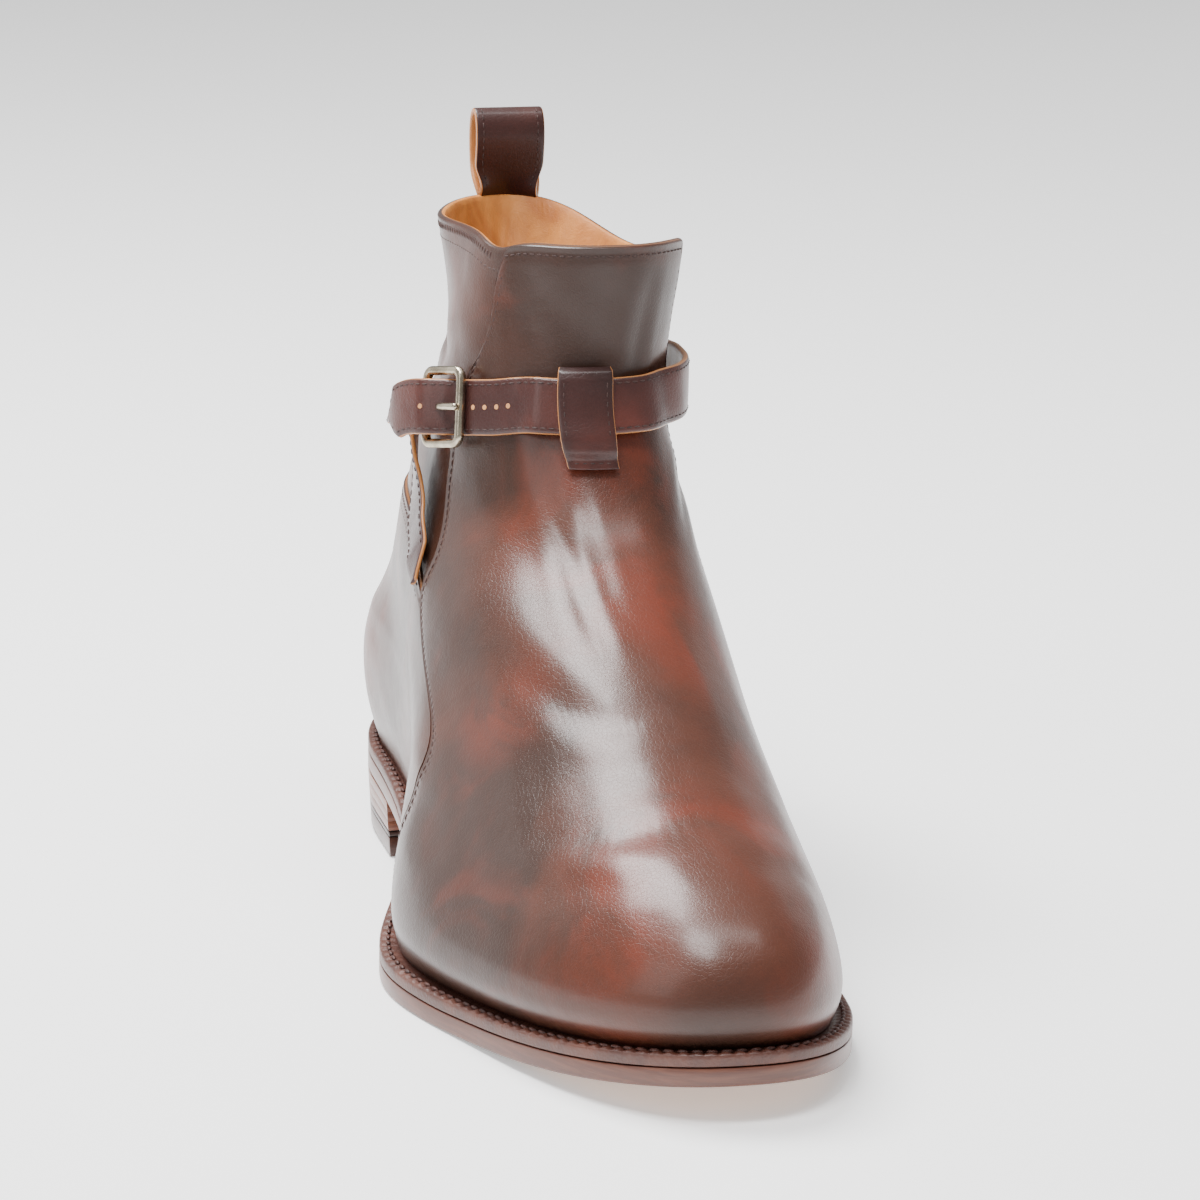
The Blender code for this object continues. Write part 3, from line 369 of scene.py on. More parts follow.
def finished(name: str, shape: bmesh.types.BMesh, crease_angle: float = 40.0) -> bpy.types.Object:
    """Merges doubles, turns the faces out and makes the piece's object."""
    bmesh.ops.remove_doubles(shape, verts=shape.verts, dist=1e-6)
    bmesh.ops.dissolve_degenerate(shape, edges=shape.edges, dist=1e-6)
    bmesh.ops.recalc_face_normals(shape, faces=shape.faces)
    for face in shape.faces:
        face.smooth = True
    limit = math.radians(crease_angle)
    for edge in shape.edges:
        edge.smooth = not (edge.is_manifold and edge.calc_face_angle(0.0) > limit)
    mesh = bpy.data.meshes.new(name)
    shape.to_mesh(mesh)
    shape.free()
    thing = bpy.data.objects.new(name, mesh)
    bpy.context.scene.collection.objects.link(thing)
    return thing


def closed_ends(loops: Iterable[np.ndarray]) -> np.ndarray:
    """Adds a row folded flat onto its middle line at each end."""
    loops = list(loops)
    loops.insert(0, (loops[0] + loops[0][::-1]) / 2.0)
    loops.append((loops[-1] + loops[-1][::-1]) / 2.0)
    return np.array(loops)


def padded_rows(field: np.ndarray) -> np.ndarray:
    """Repeats a field's first and last row, to match closed_ends."""
    return np.concatenate([field[:1], field, field[-1:]])


def reach_along(points: np.ndarray) -> np.ndarray:
    """Distance from the first point to each point, along the line."""
    return np.concatenate([[0.0], np.cumsum(np.linalg.norm(np.diff(points, axis=0), axis=1))])


def spline(points: np.ndarray, steps: int) -> np.ndarray:
    """Smooth run through rows of numbers, evenly placed along their first three columns."""
    points = np.asarray(points, float)
    knots = reach_along(points[:, :3])
    x = np.linspace(0.0, knots[-1], steps + 1)
    return np.stack([through(knots, list(points[:, k]), x) for k in range(points.shape[1])], axis=-1)


def crowded(count: int) -> np.ndarray:
    """Shares from 0 to 1, close together at both ends so that edges can be rounded."""
    ends = np.array((0.0, 0.0004, 0.0010, 0.0020, 0.0035, 0.0060))
    middle = np.linspace(0.012, 0.988, count)
    return np.concatenate([ends, middle, 1.0 - ends[::-1]])


def across_band(half: float, inset: float) -> np.ndarray:
    """Places across a band of that half width, close together at its edges."""
    edge = half - np.array((0.0, 0.0001, 0.0003))
    return np.concatenate([-edge, np.linspace(-half + inset, half - inset, 15), edge[::-1]])


def capped(loops: np.ndarray) -> np.ndarray:
    """Adds a row drawn together to its middle at each end."""
    first = loops[:1].mean(axis=1, keepdims=True) + 0.0 * loops[:1]
    last = loops[-1:].mean(axis=1, keepdims=True) + 0.0 * loops[-1:]
    return np.concatenate([first, loops, last])


class Part:
    """Gives finished pieces their material and hangs them under the root body."""

    @staticmethod
    def place(piece: bpy.types.Object, slot: str, material: bpy.types.Material, *nodes: str) -> None:
        """Gives a piece its material, hangs it under the root body and hides the CAD nodes it stands for.

        Args:
            piece: The new piece.
            slot: Material slot of the record. Not used.
            material: The piece's material.
            nodes: CAD nodes that it replaces.
        """
        piece.data.materials.clear()
        piece.data.materials.append(material)
        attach(piece, "root")
        if nodes:
            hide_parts(*nodes)
        LOG.info("%s: %d faces", piece.name, len(piece.data.polygons))


# Shader maths
class Wire:
    """A socket that joins in Python sums."""

    def __init__(self, shop: "Shop", socket: bpy.types.NodeSocket) -> None:
        """Keeps the socket and the shop that owns it."""
        self.shop = shop
        self.socket = socket

    def _math(self, operation: str, first: "Wire | float", second: "Wire | float" = 0.0) -> "Wire":
        """One Math node."""
        return self.shop.node("ShaderNodeMath", {"operation": operation}, {0: first, 1: second})

    def __add__(self, other: "Wire | float") -> "Wire":
        """Sum."""
        return self._math("ADD", self, other)

    __radd__ = __add__

    def __mul__(self, other: "Wire | float") -> "Wire":
        """Product."""
        return self._math("MULTIPLY", self, other)

    __rmul__ = __mul__

    def __sub__(self, other: "Wire | float") -> "Wire":
        """Difference."""
        return self._math("SUBTRACT", self, other)

    def __rsub__(self, other: "Wire | float") -> "Wire":
        """Difference, the other way round."""
        return self._math("SUBTRACT", other, self)

    def clamp(self, low: float = 0.0, high: float = 1.0) -> "Wire":
        """Value kept between two limits."""
        return self._math("MINIMUM", self._math("MAXIMUM", self, low), high)

    def spread(self, low: float, high: float) -> "Wire":
        """0 below low, 1 above high and smooth between."""
        return self.shop.node("ShaderNodeMapRange", {"interpolation_type": "SMOOTHSTEP"}, {0: self, 1: low, 2: high})


class Shop:
    """Builds one material's nodes."""

    def __init__(self, name: str, material: bpy.types.Material | None = None) -> None:
        """Starts a material with its Principled shader, or goes on with a given one."""
        self.material = bpy.data.materials.new(name) if material is None else material
        self.material.use_nodes = True
        self.tree = self.material.node_tree
        self.shader = self.tree.nodes["Principled BSDF"]
        self.place = self.node("ShaderNodeTexCoord", {}, {}, "Object")

    def node(self, kind: str, settings: dict, inputs: dict, output: str | int = 0) -> Wire:
        """Adds a node.

        Args:
            kind: Blender's node type.
            settings: Properties, set before the sockets.
            inputs: Values or wires by socket name or number.
            output: Name or number of the socket to give back.

        Returns:
            The wire of that output.
        """
        made = self.tree.nodes.new(kind)
        for key, value in settings.items():
            if key == "stops":
                ramp = made.color_ramp
                while len(ramp.elements) < len(value):
                    ramp.elements.new(0.5)
                for element, (position, colour) in zip(ramp.elements, value):
                    element.position = position
                    element.color = (*colour, 1.0)
            else:
                setattr(made, key, value)
        for key, value in inputs.items():
            self.join(value, made.inputs[key])
        return Wire(self, made.outputs[output])

    def join(self, value: "Wire | float | tuple", socket: bpy.types.NodeSocket) -> None:
        """Links a wire to a socket, or sets its value."""
        if isinstance(value, Wire):
            self.tree.links.new(value.socket, socket)
        elif isinstance(value, tuple) and len(value) == 3 and socket.type == "RGBA":
            socket.default_value = (*value, 1.0)
        else:
            socket.default_value = value

    def noise(self, scale: float, detail: float = 3.0, rough: float = 0.55, warp: float = 0.0,
              stretch: tuple[float, float, float] = (1.0, 1.0, 1.0)) -> Wire:
        """Noise on the piece's own coordinates, 0 to 1."""
        place = self.place
        if stretch != (1.0, 1.0, 1.0):
            place = self.node("ShaderNodeMapping", {}, {"Vector": place, "Scale": stretch})
        return self.node("ShaderNodeTexNoise", {}, {"Vector": place, "Scale": scale, "Detail": detail,
                                                    "Roughness": rough, "Distortion": warp})

    def cells(self, scale: float, feature: str = "DISTANCE_TO_EDGE", randomness: float = 1.0) -> Wire:
        """Cell pattern: distance to the cell's edge, or to its middle."""
        return self.node("ShaderNodeTexVoronoi", {"feature": feature},
                         {"Vector": self.place, "Scale": scale, "Randomness": randomness})

    def spots(self, table: Sequence[tuple[float, float, float, float]]) -> Wire:
        """Sum of round spots, each x, y, z and radius in millimetres: 1 within, 0 beyond the radius."""
        total = None
        for *place, radius in table:
            inputs = {0: self.place, 1: tuple(value * MM for value in place)}
            away = self.node("ShaderNodeVectorMath", {"operation": "DISTANCE"}, inputs, "Value")
            one = 1.0 - away.spread(0.15 * radius * MM, radius * MM)
            total = one if total is None else total + one
        return total.clamp()

    def field(self, name: str) -> Wire:
        """The piece's own attribute of that name."""
        return self.node("ShaderNodeAttribute", {"attribute_name": name}, {}, "Fac")

    def blend(self, share: Wire | float, first: "Wire | tuple", second: "Wire | tuple") -> Wire:
        """Colour mixed from first to second by share."""
        mixed = self.tree.nodes.new("ShaderNodeMix")
        mixed.data_type = "RGBA"
        self.join(share, mixed.inputs[0])
        self.join(first, mixed.inputs[6])
        self.join(second, mixed.inputs[7])
        return Wire(self, mixed.outputs[2])

    def bump(self, height: Wire, distance: float, strength: float = 1.0, under: Wire | None = None) -> Wire:
        """Bump from a height given as 0 to 1 times distance in metres."""
        inputs = {"Height": height, "Distance": distance, "Strength": strength}
        if under is not None:
            inputs["Normal"] = under
        return self.node("ShaderNodeBump", {}, inputs)

    def finish(self, **sockets: "Wire | float | tuple") -> bpy.types.Material:
        """Joins values to the shader's sockets, named with underscores for spaces."""
        for key, value in sockets.items():
            self.join(value, self.shader.inputs[key.replace("_", " ")])
        return self.material


# Red and dark clouds of the upper: x, y, z and radius in millimetres; the dark clouds are partly the leather's own
# darker tone and partly painted shade, as on the shaft's right front
RED_SPOTS = ((-14.0, -208.0, 40.0, 34.0), (2.0, -180.0, 58.0, 30.0), (34.0, -190.0, 50.0, 30.0),
             (8.0, -98.0, 104.0, 34.0), (20.0, -74.0, 128.0, 24.0), (30.0, -120.0, 85.0, 30.0),
             (-16.0, -120.0, 70.0, 24.0), (42.0, -212.0, 30.0, 24.0), (-40.0, 0.0, 60.0, 34.0),
             (40.0, -20.0, 70.0, 40.0))
DARK_TONE_AND_SHADE_SPOTS = ((-34.0, -150.0, 42.0, 40.0), (12.0, -232.0, 22.0, 26.0), (26.0, -64.0, 168.0, 34.0),
              (-8.0, -60.0, 130.0, 34.0), (45.0, -160.0, 40.0, 30.0), (0.0, 36.0, 60.0, 36.0))


@dataclass(frozen=True)
class BurnishedLeather:
    """Polished brown leather: red clouds, dark clouds that are partly the leather's tone and partly painted shade, fine
    grain, pale raw edge.
    """

    name: str
    deep: tuple[float, float, float]
    body: tuple[float, float, float]
    glow: tuple[float, float, float]
    raw: tuple[float, float, float] = (0.42, 0.17, 0.055)
    roughness: float = 0.33
    coat: float = 0.28
    coat_roughness: float = 0.20
    grain: float = 0.00010
    raw_edges: bool = False

    def build(self) -> bpy.types.Material:
        """Makes the material."""
        shop = Shop(self.name)
        cloud = shop.noise(14.0, 4.0, 0.55, 0.4)
        patch = shop.noise(33.0, 3.0, 0.6, 0.8)
        fleck = shop.noise(260.0, 3.0, 0.65)
        # Dark spots darken the base colour: partly the leather's own darker tone, partly painted shade on the shaft's
        # right front.
        dark = shop.spots(DARK_TONE_AND_SHADE_SPOTS)
        base = shop.blend((cloud.spread(0.34, 0.64) - dark * 0.75).clamp(), self.deep, self.body)
        streak = shop.noise(26.0, 4.0, 0.6, 1.6, (1.0, 0.55, 0.8))
        warm = patch.spread(0.50, 0.80) * 0.60 + shop.spots(RED_SPOTS) * streak.spread(0.36, 0.62) * 0.85
        base = shop.blend(warm.clamp(0.0, 0.95), base, self.glow)
        base = shop.blend(fleck.spread(0.50, 0.80) * 0.22, base, self.deep)
        edge = shop.field("edge")
        base = shop.blend((1.0 - edge.spread(0.2, 3.2)) * 0.45, base, self.deep)
        if self.raw_edges:
            base = shop.blend(shop.field("raw").spread(0.35, 0.75), base, self.raw)
        pores = shop.cells(1500.0, "F1")
        web = shop.cells(820.0)
        height = web.spread(0.0, 0.12) * 0.40 + pores.spread(0.1, 0.6) * 0.12 + shop.noise(420.0, 2.0) * 0.4
        wrinkle = shop.noise(120.0, 3.0, 0.5, 0.6)
        normal = shop.bump(height, self.grain, 0.55)
        normal = shop.bump(wrinkle, 0.00035, 0.30, normal)
        normal = shop.bump(shop.noise(42.0, 3.0, 0.5, 0.9), 0.0011, 0.22, normal)
        rough = cloud * 0.10 + fleck * 0.10 + (self.roughness - 0.08)
        return shop.finish(Base_Color=base, Roughness=rough, Normal=normal, Coat_Weight=self.coat,
                           Coat_Roughness=self.coat_roughness, Specular_IOR_Level=0.27)


@dataclass(frozen=True)
class Lining:
    """Colours of the tan glove leather inside."""

    colour: tuple[float, float, float] = (0.56, 0.225, 0.052)
    shade: tuple[float, float, float] = (0.36, 0.120, 0.030)


@dataclass(frozen=True)
class ShellLeather:
    """Upper's own leather outside and tan lining inside, told apart by the piece's attribute."""

    outside: BurnishedLeather
    inside: Lining

    def build(self) -> bpy.types.Material:
        """Makes the material."""
        material = self.outside.build()
        shop = Shop(material.name, material)
        colour, rough, normal = (Wire(shop, shop.shader.inputs[key].links[0].from_socket)
                                 for key in ("Base Color", "Roughness", "Normal"))
        inner = shop.field("lining").spread(0.35, 0.65)
        cloud = shop.noise(40.0, 4.0, 0.6, 0.8)
        tan = shop.blend(cloud.spread(0.35, 0.7), self.inside.colour, self.inside.shade)
        folds = shop.noise(110.0, 3.0, 0.5, 1.2, (1.0, 1.0, 0.4))
        return shop.finish(Base_Color=shop.blend(inner, colour, tan), Roughness=rough + inner * 0.18,
                           Coat_Weight=(1.0 - inner) * self.outside.coat,
                           Normal=shop.bump(folds * inner, 0.0012, 0.6, normal))


@dataclass(frozen=True)
class StackedEdge:
    """Waxed leather edge with thin lines where layers meet."""

    name: str
    colour: tuple[float, float, float]
    streak: tuple[float, float, float]
    roughness: float = 0.30

    def build(self) -> bpy.types.Material:
        """Makes the material."""
        shop = Shop(self.name)
        fibre = shop.noise(60.0, 5.0, 0.65, 0.3, (1.0, 1.0, 14.0))
        fine = shop.noise(160.0, 3.0, 0.6, 0.0, (1.0, 1.0, 9.0))
        cloud = shop.noise(25.0, 3.0)
        base = shop.blend(fibre.spread(0.38, 0.68), self.colour, self.streak)
        base = shop.blend(cloud.spread(0.45, 0.8) * 0.4, base, self.streak)
        normal = shop.bump(fibre * 0.7 + fine * 0.3, 0.00016, 0.5)
        return shop.finish(Base_Color=base, Roughness=fine * 0.16 + self.roughness, Normal=normal,
                           Coat_Weight=0.30, Coat_Roughness=0.18)


@dataclass(frozen=True)
class Tread:
    """Outsole: waxed mahogany edge and waist, natural tan forefoot with a dark painted border."""

    name: str = "outsole_leather"
    edge_colour: tuple[float, float, float] = (0.085, 0.026, 0.015)
    streak: tuple[float, float, float] = (0.135, 0.046, 0.026)
    waist: tuple[float, float, float] = (0.060, 0.026, 0.018)
    tan: tuple[float, float, float] = (0.560, 0.310, 0.150)

    def build(self) -> bpy.types.Material:
        """Makes the material."""
        shop = Shop(self.name)
        fibre = shop.noise(60.0, 5.0, 0.65, 0.3, (1.0, 1.0, 14.0))
        cloud = shop.noise(30.0, 4.0, 0.6, 0.5)
        grain = shop.noise(500.0, 3.0, 0.6)
        edge = shop.blend(fibre.spread(0.38, 0.68), self.edge_colour, self.streak)
        under = shop.field("tan").spread(0.45, 0.55)
        natural = shop.blend(cloud.spread(0.3, 0.75) * 0.6, self.tan, (0.42, 0.215, 0.10))
        dark = shop.blend(cloud.spread(0.3, 0.7), self.waist, (0.035, 0.016, 0.012))
        below = shop.blend(under, dark, natural)
        sole = shop.field("under").spread(0.4, 0.6)
        base = shop.blend(sole, edge, below)
        rough = fibre * 0.12 + 0.28 + under * sole * 0.3
        normal = shop.bump(fibre * 0.5 + grain * 0.5, 0.00014, 0.5)
        return shop.finish(Base_Color=base, Roughness=rough, Normal=normal,
                           Coat_Weight=(1.0 - under * sole) * 0.16, Coat_Roughness=0.22)


@dataclass(frozen=True)
class TopPiece:
    """Natural leather under the heel with a dark painted border."""

    name: str = "top_piece_leather"
    tan: tuple[float, float, float] = (0.50, 0.27, 0.13)
    dark: tuple[float, float, float] = (0.060, 0.022, 0.014)

    def build(self) -> bpy.types.Material:
        """Makes the material."""
        shop = Shop(self.name)
        cloud = shop.noise(45.0, 4.0, 0.6, 0.5)
        grain = shop.noise(520.0, 3.0)
        inside = shop.field("rim").spread(3.6, 4.4)
        natural = shop.blend(cloud.spread(0.3, 0.75), self.tan, (0.38, 0.19, 0.09))
        base = shop.blend(inside, self.dark, natural)
        return shop.finish(Base_Color=base, Roughness=inside * 0.3 + 0.32, Normal=shop.bump(grain, 0.0002, 0.5),
                           Coat_Weight=(1.0 - inside) * 0.25, Coat_Roughness=0.2)


@dataclass(frozen=True)
class Plain:
    """A plain worn surface with mottled colour and a fine bump."""

    name: str
    colour: tuple[float, float, float]
    other: tuple[float, float, float]
    roughness: float = 0.5
    metallic: float = 0.0
    bump: float = 0.00012
    scale: float = 60.0
    coat: float = 0.0

    def build(self) -> bpy.types.Material:
        """Makes the material."""
        shop = Shop(self.name)
        cloud = shop.noise(self.scale, 4.0, 0.6, 0.4)
        grain = shop.noise(self.scale * 12.0, 3.0, 0.6)
        base = shop.blend(cloud.spread(0.35, 0.7), self.colour, self.other)
        return shop.finish(Base_Color=base, Roughness=cloud * 0.16 + grain * 0.06 + (self.roughness - 0.1),
                           Metallic=self.metallic, Coat_Weight=self.coat,
                           Normal=shop.bump(grain, self.bump, 0.5))


class Finishes:
    """Every material, made once."""

    def __init__(self) -> None:
        """Builds the boot's finishes."""
        tones = ((0.034, 0.015, 0.010), (0.074, 0.023, 0.013), (0.118, 0.023, 0.011))
        self.shell = ShellLeather(BurnishedLeather("burnished_upper", *tones), Lining()).build()
        self.panel = BurnishedLeather("burnished_panel", *tones, raw_edges=True).build()
        self.strap = BurnishedLeather("strap_leather", (0.040, 0.014, 0.012), (0.085, 0.026, 0.020),
                                      (0.130, 0.032, 0.022), raw_edges=True, roughness=0.34,
                                      grain=0.00014).build()
        self.keeper = BurnishedLeather("keeper_leather", (0.022, 0.009, 0.008), (0.046, 0.015, 0.013),
                                       (0.080, 0.022, 0.016), raw_edges=True, roughness=0.36).build()
        self.loop = BurnishedLeather("loop_leather", (0.026, 0.009, 0.008), (0.055, 0.017, 0.013),
                                     (0.085, 0.022, 0.015), raw_edges=True, roughness=0.40).build()
        self.welt = Plain("welt_leather", (0.062, 0.019, 0.012), (0.105, 0.034, 0.020), 0.46, scale=90.0,
                          bump=0.00050, coat=0.1).build()
        self.outsole = Tread().build()
        self.stack = StackedEdge("heel_stack", (0.120, 0.036, 0.020), (0.230, 0.085, 0.045)).build()
        self.dark_lift = StackedEdge("dark_lift", (0.030, 0.014, 0.010), (0.060, 0.024, 0.016)).build()
        self.top_piece = TopPiece().build()
        self.rubber = Plain("heel_rubber", (0.018, 0.019, 0.020), (0.040, 0.041, 0.043), 0.62, bump=0.0003).build()
        self.insole = Plain("insole_leather", (0.42, 0.20, 0.080), (0.33, 0.145, 0.055), 0.55).build()
        self.thread = Plain("brown_thread", (0.046, 0.018, 0.014), (0.024, 0.010, 0.008), 0.65, scale=300.0,
                            bump=0.0002).build()
        self.welt_thread = Plain("welt_thread", (0.070, 0.019, 0.012), (0.038, 0.012, 0.008), 0.50, scale=300.0,
                                 bump=0.0002).build()
        self.brass = Plain("antique_brass", (0.50, 0.44, 0.34), (0.25, 0.21, 0.155), 0.24, 1.0, 0.00003,
                           140.0).build()
        self.hole = Plain("punched_edge", (0.62, 0.30, 0.12), (0.42, 0.18, 0.07), 0.6).build()
        self.nail = Plain("steel_nail", (0.42, 0.40, 0.37), (0.25, 0.24, 0.23), 0.35, 1.0).build()
        self.floor = self.pale_floor()

    @staticmethod
    def pale_floor() -> bpy.types.Material:
        """Plain pale studio floor."""
        return Shop("pale_floor").finish(Base_Color=(0.90, 0.90, 0.90), Roughness=0.6, Specular_IOR_Level=0.2,
                                         Emission_Color=(1.0, 1.0, 1.0), Emission_Strength=0.45)


class Stitches:
    """Rows of thread, each stitch a small rounded bead."""

    def __init__(self, name: str) -> None:
        """Starts an empty row."""
        self.name = name
        self.shape = bmesh.new()
        self.layer = self.shape.verts.layers.float.new("edge")

    def along(self, path: np.ndarray, out: np.ndarray, pitch: float, length: float, width: float,
              height: float | None = None, slant: float = 0.0) -> None:
        """Adds stitches along a path.

        Args:
            path: Points on the leather's surface.
            out: Outward directions at the points.
            pitch: Distance from one stitch to the next.
            length: Length of a stitch.
            width: Width of the thread.
            height: How thick the thread stands, twice its rise above the leather.
            slant: Turn of each stitch in the surface, in radians.
        """
        reach = reach_along(path)
        count = max(int(reach[-1] / pitch), 1)
        places = (np.arange(count) + 0.5) * reach[-1] / count
        centre, ahead, behind, face = (
            np.stack([np.interp(places + shift, reach, rows[:, k]) for k in range(3)], -1)
            for shift, rows in ((0.0, path), (0.0004, path), (-0.0004, path), (0.0, out)))
        face = unit(face)
        run = unit(ahead - behind)
        side = unit(np.cross(face, run))
        run = np.cross(side, face)
        if slant:
            run, side = run * math.cos(slant) + side * math.sin(slant), side * math.cos(slant) - run * math.sin(slant)
        rise = width if height is None else height
        for c, r, s, f in zip(centre, run, side, face):
            matrix = Matrix(((r[0] * length, s[0] * width, f[0] * rise, c[0]),
                             (r[1] * length, s[1] * width, f[1] * rise, c[1]),
                             (r[2] * length, s[2] * width, f[2] * rise, c[2]),
                             (0.0, 0.0, 0.0, 1.0)))
            bmesh.ops.create_uvsphere(self.shape, u_segments=6, v_segments=4, radius=0.5, matrix=matrix)

    def make(self, slot: str, material: bpy.types.Material) -> None:
        """Finishes the row as one piece."""
        mesh = bpy.data.meshes.new(self.name)
        for face in self.shape.faces:
            face.smooth = True
        self.shape.to_mesh(mesh)
        self.shape.free()
        thing = bpy.data.objects.new(self.name, mesh)
        bpy.context.scene.collection.objects.link(thing)
        Part.place(thing, slot, material)


@dataclass
class Upper:
    """Hollow shell with its front panel, heel foxing and back stay sewn over it."""

    # Metres of height to one level of the last, at the collar and at the foxing's top
    COLLAR_RISE = 0.0185
    FOX_RISE = 0.0145
    # Thread: pitch, length and width of a stitch, and how far it is sunk
    PANEL_STITCH = (0.0023, 0.0019, 0.00052)
    FOX_STITCH = (0.0023, 0.0019, 0.00050)
    STAY_STITCH = (0.0023, 0.0019, 0.00048)
    COLLAR_STITCH = (0.0022, 0.0018, 0.00050)
    OVERCAST = (0.0015, 0.0024, 0.00070, 0.0006, math.pi / 2.0)
    SUNK = 0.00012
    # Collar edge, outside to inside: distance in, height and share of lining colour
    RIM = ((0.0, 0.0, 0.0), (0.0001, 0.0003, 0.0), (0.0004, 0.0006, 0.1), (0.0009, 0.0008, 0.3),
           (0.0015, 0.0008, 0.6), (0.0020, 0.0006, 1.0), (0.0023, 0.0003, 1.0))
    RIM_TOP = 0.0008
    PALE_EDGE = 0.55
    PANEL_CORNER = 0.0065

    finishes: Finishes
    wall: float = 0.0024
    panel: float = 0.0012
    foxing: float = 0.0010
    stay: float = 0.0007
    rounding: float = 0.0006

    def skin_point(self, u: np.ndarray, v: np.ndarray, lift: np.ndarray) -> np.ndarray:
        """Creased surface of the last moved out by lift."""
        base = LAST.point(u, v)
        normal = LAST.normal(u, v)
        return creased(base, normal) + normal * (lift + 0.0 * u)[..., None]

    def shell(self) -> None:
        """Leather outside, collar edge and tan inside, as one closed shell."""
        columns = np.linspace(0.0, 1.0, 241)[:-1]
        rows = np.concatenate([np.linspace(0.0, 8.9, 120), (8.95, 9.0)])
        u, v = np.meshgrid(columns, rows, indexing="ij")
        outside = self.skin_point(u, v, 0.0 * u)
        edge = LAST.point(columns, 0.0 * columns + LAST.TOP)
        normal = LAST.normal(columns, 0.0 * columns + LAST.TOP)
        rim = np.stack([edge - normal * back + UP * (rise - self.RIM_TOP) for back, rise, _ in self.RIM], axis=1)
        inner_rows = np.concatenate([np.linspace(8.93, 4.0, 42), np.linspace(3.8, 0.0, 16)])
        iu, iv = np.meshgrid(columns, inner_rows, indexing="ij")
        inside = LAST.point(iu, iv) - LAST.normal(iu, iv) * self.wall
        folds = np.sin(iu * 160.0) * 0.35 + np.sin(iu * 97.0 + iv * 2.2) * 0.40 + np.sin(iu * 41.0 - iv * 1.4) * 0.5
        near_back = ease((0.34 - np.minimum(iu, 1.0 - iu)) / 0.2)
        near_back = near_back * ease((LAST.TOP - iv) / 0.5) * ease((iv - 5.0) / 2.0)
        inside += LAST.normal(iu, iv) * ((folds - 0.6) * 0.5 * MM * near_back)[..., None]
        loops = np.concatenate([outside[:, :-1], rim, inside], axis=1)
        lining = np.concatenate([np.zeros(outside[:, :-1].shape[:2]),
                                 np.tile([share for _, _, share in self.RIM], (len(columns), 1)),
                                 np.ones(inside.shape[:2])], axis=1)
        near = np.concatenate([np.clip((LAST.TOP - v[:, :-1]) * 18.0, 0.0, 50.0), np.zeros(rim.shape[:2]),
                               np.full(inside.shape[:2], 50.0)], axis=1)
        piece = skin("upper_shell", loops, {"lining": lining, "edge": near}, ring=True)
        Part.place(piece, "upper_leather", self.finishes.shell, "upper")

    def overlay(self, name: str, u: np.ndarray, v: np.ndarray, thick: float, along_ends: tuple[bool, bool],
                up_ends: tuple[bool, bool], material: bpy.types.Material) -> None:
        """A sewn-on layer with rounded cut edges.

        Args:
            name: Name of the piece.
            u: Places round the last, columns first.
            v: Levels, columns first.
            thick: How far it stands off the shell.
            along_ends: Whether its first and last columns are cut edges.
            up_ends: Whether its bottom and top rows are cut edges.
            material: Its material.
        """
        base = LAST.point(u, v)
        across = np.linalg.norm(np.diff(base, axis=0), axis=-1)
        across = np.concatenate([np.zeros((1, u.shape[1])), np.cumsum(across, axis=0)])
        climb = np.linalg.norm(np.diff(base, axis=1), axis=-1)
        climb = np.concatenate([np.zeros((u.shape[0], 1)), np.cumsum(climb, axis=1)], axis=1)
        far = np.full(u.shape, 0.05)
        gaps = [across if along_ends[0] else far, across[-1:] - across if along_ends[1] else far,
                climb if up_ends[0] else far, climb[:, -1:] - climb if up_ends[1] else far]
        away = np.minimum.reduce(gaps)
        rounding = self.rounding
        lift = thick * np.sqrt(1.0 - (1.0 - np.clip(away / rounding, 0.0, 1.0)) ** 2)
        press = 0.25 * MM * np.exp(-((away - 2.0 * MM) / (1.1 * MM)) ** 2)
        top = self.skin_point(u, v, lift - press + 0.00005)
        below = self.skin_point(u, v, np.full(u.shape, -0.0006))
        loops = np.concatenate([top, below[:, ::-1]], axis=1)
        raw = np.concatenate([np.clip(1.25 - away / (0.45 * rounding), 0.0, 1.0) * np.where(lift < thick, 1.0, 0.0),
                              np.zeros(u.shape)], axis=1)
        near = np.concatenate([away, away[:, ::-1]], axis=1) / MM
        fields = {"edge": padded_rows(near), "raw": padded_rows(raw) * self.PALE_EDGE}
        piece = skin(name, closed_ends(loops), fields)
        Part.place(piece, "upper_leather", material)

    def front_panel(self) -> None:
        """Panel over toe, instep and the leg's front, from seam to seam."""
        share = crowded(190)
        rows = np.concatenate([np.linspace(0.0, 8.93, 150), LAST.TOP - np.array((0.05, 0.03, 0.015, 0.006, 0.0))])
        outer = Seams.front(rows, Side.OUTER)
        inner = Seams.front(rows, Side.INNER)
        u = outer + (inner - outer) * share[:, None]
        across = share * 0.145
        corner = np.minimum(across, across[-1] - across)
        radius = self.PANEL_CORNER
        drop = radius - np.sqrt(np.clip(radius ** 2 - np.clip(radius - corner, 0.0, None) ** 2, 0.0, None))
        v = rows * (1.0 - (drop[:, None] / self.COLLAR_RISE) / LAST.TOP * ease((rows - 7.0) / 2.0))
        self.overlay("front_panel", u, v, self.panel, (True, True), (False, True), self.finishes.panel)
        thread = Stitches("panel_stitches")
        lines = np.linspace(0.12, 8.75, 260)
        for side, sign in ((Side.OUTER, 1.0), (Side.INNER, -1.0)):
            for inset, stop in ((0.0022, LAST.TOP), (0.0040, 6.3)):
                lines_here = lines[lines < stop]
                place = Seams.front(lines_here, side)
                edge = LAST.point(place, lines_here)
                step = LAST.point(place + sign * 0.004, lines_here)
                scale = np.linalg.norm(step - edge, axis=-1) / 0.004
                place = place + sign * inset / scale
                path = self.skin_point(place, lines_here, np.full(len(place), self.panel - self.SUNK))
                thread.along(path, LAST.normal(place, lines_here), *self.PANEL_STITCH)
        thread.make("upper_leather", self.finishes.thread)

